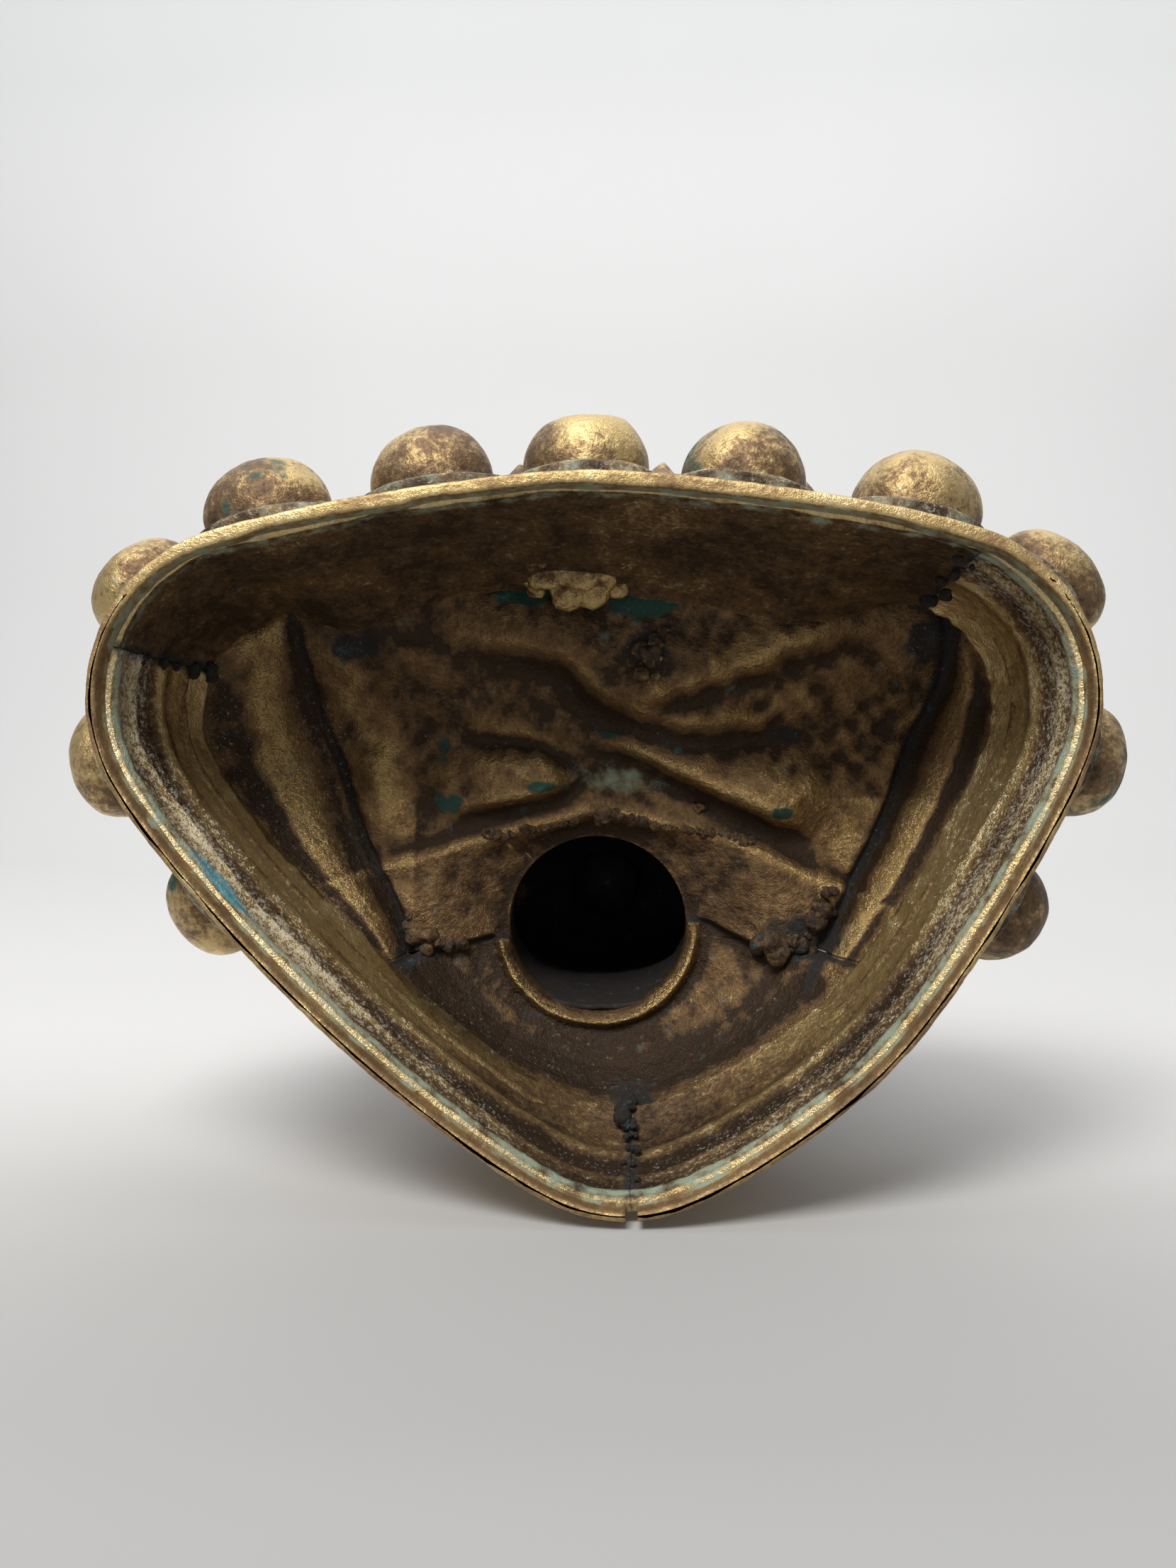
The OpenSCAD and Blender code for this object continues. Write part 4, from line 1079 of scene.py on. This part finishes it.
def make_head():
    """The head: an egg whose face carries brows, lowered lids, nose, lips and chin as bells in the face's own width x and
    height z; curls above a hairline; long ears as curled tubes; and a neck with three creases."""
    rows, columns = 270, 330
    v = np.linspace(0, np.pi, rows + 2)[1:-1, None]
    u = np.linspace(0, 2 * np.pi, columns, endpoint=False)[None, :] + 0 * v
    x = 22.4 * np.sin(v) * np.cos(u)
    y = 25.0 * np.sin(v) * np.sin(u)
    z = 31.0 * np.cos(v) + 0 * u
    jaw = smooth(-z / 31)
    x, y = x * (1 - 0.2 * jaw), np.where(y < 0, y * (1 - 0.1 * jaw), y * (1 - 0.24 * jaw))
    ahead = smooth((-y - 2) / 9)
    side = np.abs(x)

    def bell(x0, z0, wx, wz):
        """A bell on each half of the face, at width x0 and height z0."""
        return np.exp(-(((side - x0) / wx) ** 2) - ((z - z0) / wz) ** 2)

    brow_z = 6.0 + 2.4 * np.sin(np.clip((side - 1.5) / 14, 0, 1) * np.pi * 0.8)
    lid_z = 1.1 + 0.9 * np.sin(np.clip((side - 3.6) / 9.6, 0, 1) * np.pi) * -1
    upper_z = 3.9 + 1.5 * np.sin(np.clip((side - 3.4) / 10.4, 0, 1) * np.pi)
    eye_span = smooth((side - 3.2) / 1.5) * smooth((14 - side) / 2)
    nose = np.clip((6.5 - z) / 13.5, 0, 1)
    nose_on = smooth((8.5 - z) / 4) * smooth((z + 8.6) / 1.6)
    mouth_z = -12.7 + 0.016 * side ** 2
    mouth_span = smooth((7.6 - side) / 2.4)
    face = (1.0 * bump(z - brow_z, 1.1) * smooth((side - 1) / 1.5) * smooth((16 - side) / 4)
            - 2.3 * bell(8.4, 2.6, 5.4, 3.8) + 2.5 * bell(8.6, 1.9, 4.6, 2.7)
            - 0.75 * bump(z - lid_z, 0.42) * eye_span - 0.5 * bump(z - upper_z, 0.4) * eye_span
            + nose_on * (1.2 + 4.0 * nose ** 1.2) * np.exp(-((side / (2.0 + 1.1 * nose)) ** 2))
            + 1.5 * bell(3.4, -6.6, 1.4, 1.5) - 0.5 * bell(0, -9.4, 0.9, 1.4)
            + 1.5 * mouth_span * bump(z - mouth_z - 1.25, 1.2)
            + 1.7 * mouth_span * smooth((6.4 - side) / 3) * bump(z - mouth_z + 1.5, 1.35)
            - 0.9 * bump(z - mouth_z, 0.45) * smooth((7.6 - side) / 1.5) - 0.5 * bell(8.4, -12.0, 1.3, 1.5)
            + 2.3 * bell(0, -20.5, 5.5, 3.6) - 0.9 * bell(0, -16.4, 5, 1.2) + 1.5 * bell(11.5, -6.5, 6, 6)
            + 1.0 * bell(0, 9.6, 1.1, 1.1))
    y = y - face * ahead
    hairline = np.where(y < 0, 14.5 - 0.035 * side ** 1.9 + 0 * y, 14.5 - 0.035 * side ** 1.9 - 0.95 * np.clip(y, 0, 40))
    hairline = np.maximum(hairline, -19)
    hair = smooth((z - hairline) / 1.6)
    knobs = curls(u, v + 0 * u, 40, 0.165)
    out = np.stack([x / 22.4 ** 2, y / 25 ** 2, z / 31 ** 2], -1)
    out /= np.linalg.norm(out, axis=-1, keepdims=True)
    place = np.stack([x, y, z], -1) + out * (hair * (0.5 + 1.9 * knobs))[..., None]
    place = place + HEAD_MID
    body = np.vstack([place.reshape(-1, 3), HEAD_MID + [0, 0, 32.0], HEAD_MID - [0, 0, 31.0]])
    faces = grid_faces(rows, columns, wrap_columns=True).tolist()
    faces += [[len(body) - 2, (j + 1) % columns, j] for j in range(columns)]
    last = (rows - 1) * columns
    faces += [[len(body) - 1, last + j, last + (j + 1) % columns] for j in range(columns)]
    # Painted shade between the curls and along the mouth and lid creases.
    soil = hair * (1 - knobs) * 0.8 + ahead * (0.6 * bump(z - mouth_z, 0.7) * mouth_span
                                               + 0.5 * bump(z - lid_z, 0.6) * eye_span)
    parts = [(body, [f[::-1] for f in faces], {"rub": np.append(0.3 * (1 - hair) + 0.25 * hair * knobs, [0, 0]),
                                               "soil": np.append(soil, [0, 0])})]
    neck = curve_through([(11.5, 177), (12.8, 181), (12.6, 184), (11.9, 185.2), (12.5, 187), (11.8, 188.6),
                          (12.3, 190.2), (11.6, 192), (12, 196), (11, 203)], 60)
    profile = np.vstack([[0, 177], neck, [0, 203]])
    body, faces, _ = turned(profile, (TORSO_AXIS[0], TORSO_AXIS[1] - 0.5, 0), 72)
    # The neck's foot, inside the torso, is painted near black as shade.
    parts.append((body, faces, {"soot": 1.0 * (body[:, 2] < 179), "rub": 0.2 * (body[:, 2] > 179)}))
    for s in (-1, 1):
        rim = curve_through([(21.4, -1, 8), (23.0, 0.5, 11), (24.0, 5, 11.5), (24.2, 8, 7), (23.4, 7.5, 0),
                             (21.8, 5, -8), (20.6, 3.5, -15), (19.8, 1.5, -20.5), (19.4, -0.5, -22), (19.4, -1.5, -17), (20.2, -1.5, -10), (21.2, -1.2, -2)], 70)
        line = rim * [s, 1, 1] + HEAD_MID
        thick = np.interp(np.linspace(0, 1, 70), [0, 0.3, 0.6, 0.72, 1], [1.5, 1.6, 1.5, 2.3, 1.4])
        parts.append(tube(line, thick, 16, 1.0, (1, 0.1, 0)))
        parts.append(ball(HEAD_MID + [s * 21.6, 2.8, 2], (1.9, 4.8, 8.5), 5, 0.02, 24, 30))
        parts.append(ball(HEAD_MID + [s * 19.6, 1.4, -14], (1.5, 2.9, 8.0), 6, 0.02, 24, 30))
    parts = [(p, f, m or {"rub": np.full(len(p), 0.2)}) for p, f, m in parts]
    add_piece("head_casting", joined("head_casting", parts), finish("figure_brass"), "figure_brass", "head_casting")


def make_knot_and_jewel():
    """The hair knot, a dome with the same curls, and the jewel on it, a flame turned about the head's axis."""
    low, high = node_box("hair_knot")
    radius = (high[0] - low[0]) / 2 - 1.4
    top = np.array([HEAD_MID[0], HEAD_MID[1], low[2]])
    v = np.linspace(0, 2.0, 122)[1:, None]
    u = np.linspace(0, 2 * np.pi, 150, endpoint=False)[None, :] + 0 * v
    knobs = curls(u, v + 0 * u, 30, 0.31)
    size = radius + 1.5 * knobs
    place = top + np.stack([size * np.sin(v) * np.cos(u), size * np.sin(v) * np.sin(u), size * np.cos(v)], -1)
    body = np.vstack([place.reshape(-1, 3), top + [0, 0, radius + 0.6]])
    faces = grid_faces(*u.shape, wrap_columns=True).tolist()
    faces += [[len(body) - 1, (j + 1) % 150, j] for j in range(150)]
    faces.append([120 * 150 + j for j in range(150)])
    # The curls are brighter, and the gaps between them are painted shade.
    parts = [(body, [f[::-1] for f in faces], {"rub": np.append(0.35 * knobs, 0.3), "soil": np.append(0.8 * (1 - knobs), 0)})]
    add_piece("hair_knot", joined("hair_knot", parts), finish("figure_brass"), "figure_brass", "hair_knot")

    low, high = node_box("knot_jewel")
    base = np.array([HEAD_MID[0], HEAD_MID[1], low[2]])
    tall = high[2] - low[2]
    profile = curve_through([(0.05, 0), (3.2, 0.2), (3.9, 1.0), (3.7, 1.9), (2.9, 2.5), (3.0, 3.2), (4.2, 5.2), (4.3, 7.2), (3.0, 10),
                             (1.4, 12.6), (0.5, 14.4), (0.05, tall)], 90)
    flames = lambda u, v: 1 + 0.07 * np.cos(8 * u) * smooth((v - 0.35) * 6) * smooth((0.95 - v) * 6)
    parts = [turned(profile, base, 64, flames)]
    add_piece("knot_jewel", joined("knot_jewel", parts), finish("pot_brass"), "pot_brass", "knot_jewel")


def make_kalash():
    """The water pot and its bud lid: profiles turned about the pot's axis, with ribs round the belly and beads at the
    neck; the lid's leaves are a wave in its radius."""
    base = HANDS
    wide = (node_box("kalash_pot")[1][0] - node_box("kalash_pot")[0][0]) / 2
    tall = node_box("kalash_pot")[1][2] - base[2]
    outside = [(0.3, 0), (7.6, 0), (8.3, 0.7), (8.1, 1.6), (6.6, 2.6), (6.4, 3.4), (8.5, 4.6), (12, 7), (wide - 0.8, 10.5),
               (wide - 0.3, 13), (wide - 0.9, 16.5), (12.8, 19.6), (9.4, 22.3), (6.4, 24), (5.6, 25.2), (5.5, 26.6),
               (6.6, 28), (8.6, 28.9), (8.9, 29.5), (8.6, tall)]
    inside = [[5.6, tall], [4.9, tall - 1.6], [4.7, 26], [4.8, 24.6], [8, 21.5], [11, 17], [11.6, 12], [9, 7], [4, 4.4],
              [0.1, 4]]
    profile = np.vstack([curve_through(outside, 150), inside])
    level = profile[1:-1, 1][:, None]

    def shape(u, v):
        """The radius's share round the turn: ribs on the belly and two raised lines."""
        belly = smooth((level - 11.5) / 3) * smooth((20.5 - level) / 3) * (v < 0.92)
        lines = bump(level - 10.6, 0.35) + bump(level - 21.2, 0.35)
        return 1 + 0.028 * belly * np.abs(np.cos(9 * u)) + 0.03 * lines

    parts = [turned(profile, base, 108, shape)]
    add_piece("kalash_pot", joined("kalash_pot", parts), finish("pot_brass"), "pot_brass", "kalash_pot")

    low, high = node_box("kalash_lid")
    tall = high[2] - low[2]
    profile = curve_through([(0.05, 0), (8.6, 0), (9.0, 0.5), (8.8, 1.1), (7.4, 1.8), (6.6, 3.2), (4.6, 4.8), (2.5, 5.8), (1.8, 6.6),
                             (2.3, 7.6), (3.2, 8.8), (3.0, 10.4), (1.6, 12.3), (0.05, tall)], 90)
    leaves = lambda u, v: 1 + 0.05 * np.abs(np.cos(6 * u)) * smooth((v - 0.35) * 12) * smooth((0.62 - v) * 12)
    parts = [turned(profile, [base[0], base[1], low[2]], 72, leaves)]
    add_piece("kalash_lid", joined("kalash_lid", parts), finish("pot_brass"), "pot_brass", "kalash_lid")


# ---------------------------------------------------------------- stage

CAMERA_AT = np.array([11.0, -11.9, -253.0])
LENS_MM = 27.0


def make_stage(settings):
    """A pale sweep behind and below the figure as it lies on its back, soft lights, and the camera under its foot."""
    floor_y = RIM_HIGH[1] + 2.0
    turn = np.linspace(0, np.pi / 2, 24)
    bend, far, tall = 700, 1500, 2600
    y = np.concatenate([np.full(10, floor_y), floor_y - bend + bend * np.cos(turn),
                        np.linspace(floor_y - bend - 100, -tall, 10)])
    z = np.concatenate([np.linspace(-1500, far - bend - 50, 10), far - bend + bend * np.sin(turn), np.full(10, float(far))])
    x = np.linspace(-2600, 2600, 12)
    grid = np.stack(np.broadcast_arrays(x[None, :], y[:, None], z[:, None]), -1)
    mesh = make_mesh("sweep", grid.reshape(-1, 3), grid_faces(*grid.shape[:2]))
    sweep = bpy.data.objects.new("sweep", mesh)
    bpy.context.scene.collection.objects.link(sweep)
    material = bpy.data.materials.new("sweep_paper")
    material.use_nodes = True
    tree = material.node_tree
    tree.nodes.clear()
    place = add_node(tree, "ShaderNodeTexCoord").outputs["Object"]
    cloud = add_node(tree, "ShaderNodeTexNoise", {"Vector": place, "Scale": 2.2, "Detail": 3.0}).outputs[0]
    colour = mixed(tree, cloud, (*settings.paper, 1), (*[c * 0.95 for c in settings.paper], 1))
    # Painted shade: the paper is painted darker towards the camera, as the lamps' light falls off there.
    depth = add_node(tree, "ShaderNodeSeparateXYZ", {"Vector": place}).outputs[2]
    colour = mixed(tree, stepped(tree, depth, -0.16, 0.2), (*[c * 0.58 for c in settings.paper], 1), colour)
    paper = add_node(tree, "ShaderNodeBsdfDiffuse", {"Color": colour})
    clear = add_node(tree, "ShaderNodeBsdfTransparent")
    behind = add_node(tree, "ShaderNodeNewGeometry").outputs["Backfacing"]
    both = add_node(tree, "ShaderNodeMixShader", {0: behind, 1: paper.outputs[0], 2: clear.outputs[0]})
    tree.links.new(both.outputs[0], add_node(tree, "ShaderNodeOutputMaterial").inputs[0])
    mesh.materials.append(material)
    sweep.visible_shadow = False
    mesh.update()
    if mesh.polygons[0].normal.y > 0:
        mesh.flip_normals()

    def lamp(name, at, towards, size, power, colour=(1, 1, 1)):
        """A soft oblong lamp that the camera doesn't see."""
        data = bpy.data.lights.new(name, "AREA")
        data.shape, data.size, data.size_y = "RECTANGLE", size[0], size[1]
        data.energy, data.color = power, colour
        made = bpy.data.objects.new(name, data)
        bpy.context.scene.collection.objects.link(made)
        at, towards = np.array(at) * MM, np.array(towards) * MM
        back = (at - towards) / np.linalg.norm(at - towards)
        side = np.cross([0, 0.01, 1.0] if abs(back[2]) < 0.9 else [0, 1.0, 0], back)
        side /= np.linalg.norm(side)
        made.matrix_world = Matrix([[*row, p] for row, p in zip(np.stack([side, np.cross(back, side), back], 1), at)]
                                   + [[0, 0, 0, 1]])
        made.visible_camera = False

    power = settings.light * 0.56
    lamp("overhead", (0, -1250, 420), (0, 0, 150), (2.2, 1.5), 17 * power)
    lamp("front_fill", (-220, -820, -640), (0, 10, 60), (0.5, 0.35), 24 * power)
    lamp("backdrop", (0, -1300, 700), (0, -500, 1500), (3.2, 0.6), 37 * power, (0.94, 0.97, 1))
    lamp("behind", (-500, 1000, 500), (0, 60, 130), (1.0, 1.0), 11 * power)

    world = bpy.context.scene.world or bpy.data.worlds.new("studio")
    bpy.context.scene.world = world
    world.use_nodes = True
    world.node_tree.nodes["Background"].inputs[0].default_value = (0.92, 0.95, 1.0, 1)
    world.node_tree.nodes["Background"].inputs[1].default_value = settings.ambient

    data = bpy.data.cameras.new("camera")
    data.lens, data.sensor_width, data.sensor_fit = LENS_MM, 36, "AUTO"
    data.clip_start = 0.01
    camera = bpy.data.objects.new("camera", data)
    bpy.context.scene.collection.objects.link(camera)
    ahead = np.array([-0.0413, 0.0253, 1.0])
    ahead /= np.linalg.norm(ahead)
    right = np.array([1.0, 0, 0]) - ahead[0] * ahead
    right /= np.linalg.norm(right)
    up = np.cross(-ahead, right)
    axes = np.stack([right, up, -ahead], 1)
    camera.matrix_world = Matrix([[*row, p] for row, p in zip(axes, CAMERA_AT * MM)] + [[0, 0, 0, 1]])
    bpy.context.scene.camera = camera
    bpy.context.scene.view_settings.view_transform = "Standard"


# ---------------------------------------------------------------- the add-on

class BrassSettings(bpy.types.PropertyGroup):
    """The colours of old brass, from its tarnish to its rubbed edges"""

    dark: FloatVectorProperty(name="Dark", description="Brass in deep hollows", subtype="COLOR", default=(0.045, 0.026, 0.013))
    brown: FloatVectorProperty(name="Brown", description="Tarnished brass", subtype="COLOR", default=(0.17, 0.10, 0.045))
    bronze: FloatVectorProperty(name="Bronze", description="Dull brass", subtype="COLOR", default=(0.30, 0.19, 0.085))
    gold: FloatVectorProperty(name="Gold", description="Bare brass", subtype="COLOR", default=(0.52, 0.37, 0.16))
    pale: FloatVectorProperty(name="Pale", description="Brass on rubbed edges", subtype="COLOR", default=(0.72, 0.57, 0.31))


class StageSettings(bpy.types.PropertyGroup):
    """The sweep's colour and the lights' strengths"""

    paper: FloatVectorProperty(name="Paper", description="Colour of the sweep", subtype="COLOR",
                               default=(0.57, 0.56, 0.545))
    light: FloatProperty(name="Light", description="Strength of every lamp", default=1.0, min=0, subtype="FACTOR")
    ambient: FloatProperty(name="Ambient", description="Strength of the light from all round", default=0.39, min=0,
                           subtype="FACTOR")


class FIGURE_OT_base(bpy.types.Operator):
    """Make the three wall castings, the foot's rim and the hatched border"""

    bl_idname = "figure.base"
    bl_label = "Base"

    def execute(self, context):
        make_foot_rim()
        make_hatched_border()
        base_wall("base_front_wall", LEFT_SEAM, RIGHT_SEAM, True, 41)
        base_wall("base_right_wall", RIGHT_SEAM, REAR_SEAM, False, 42)
        base_wall("base_left_wall", REAR_SEAM, LEFT_SEAM, False, 43)
        return {"FINISHED"}


class FIGURE_OT_petals(bpy.types.Operator):
    """Make the lotus petals and the small leaves between them"""

    bl_idname = "figure.petals"
    bl_label = "Petals"

    def execute(self, context):
        make_petals()
        make_petal_tips()
        return {"FINISHED"}


class FIGURE_OT_hollow(bpy.types.Operator):
    """Make the undersides of the lap and hip castings, their braze and the vent plugs"""

    bl_idname = "figure.hollow"
    bl_label = "Hollow castings"

    def execute(self, context):
        hollow_casting("lap_casting", -187, 4.9, 420, 112)
        hollow_casting("hip_casting", 5.1, 172.9, 300, 96)
        make_braze()
        make_vent_plugs()
        return {"FINISHED"}


class FIGURE_OT_body(bpy.types.Operator):
    """Make the torso, arms, hands, head, hair knot and jewel"""

    bl_idname = "figure.body"
    bl_label = "Body"

    def execute(self, context):
        torso_half("torso_front", -180, 0)
        torso_half("torso_back", 0, 180)
        make_arm("left_arm", -1)
        make_arm("right_arm", 1)
        make_hands()
        make_head()
        make_knot_and_jewel()
        return {"FINISHED"}


class FIGURE_OT_kalash(bpy.types.Operator):
    """Make the water pot and its lid"""

    bl_idname = "figure.kalash"
    bl_label = "Kalash"

    def execute(self, context):
        make_kalash()
        return {"FINISHED"}


class FIGURE_OT_stage(bpy.types.Operator):
    """Make the sweep, the lights and the camera"""

    bl_idname = "figure.stage"
    bl_label = "Stage"

    def execute(self, context):
        make_stage(context.scene.figure_stage)
        return {"FINISHED"}


class FIGURE_PT_panel(bpy.types.Panel):
    """Lists the steps that make the figure"""

    bl_label = "Brass Figure"
    bl_space_type = "VIEW_3D"
    bl_region_type = "UI"
    bl_category = "Brass Figure"

    def draw(self, context):
        for step in STEPS:
            self.layout.operator(step.bl_idname)


STEPS = (FIGURE_OT_base, FIGURE_OT_petals, FIGURE_OT_hollow, FIGURE_OT_body, FIGURE_OT_kalash, FIGURE_OT_stage)
CLASSES = (BrassSettings, StageSettings, *STEPS, FIGURE_PT_panel)


def register():
    """Register the settings, operators and panel."""
    for each in CLASSES:
        bpy.utils.register_class(each)
    bpy.types.Scene.figure_brass = PointerProperty(type=BrassSettings)
    bpy.types.Scene.figure_stage = PointerProperty(type=StageSettings)


def unregister():
    """Undo register."""
    del bpy.types.Scene.figure_stage
    del bpy.types.Scene.figure_brass
    for each in reversed(CLASSES):
        bpy.utils.unregister_class(each)


def main():
    """Make every piece in order."""
    register()
    for step in STEPS:
        group, call = step.bl_idname.split(".")
        getattr(getattr(bpy.ops, group), call)()


if __name__ == "__main__":
    main()
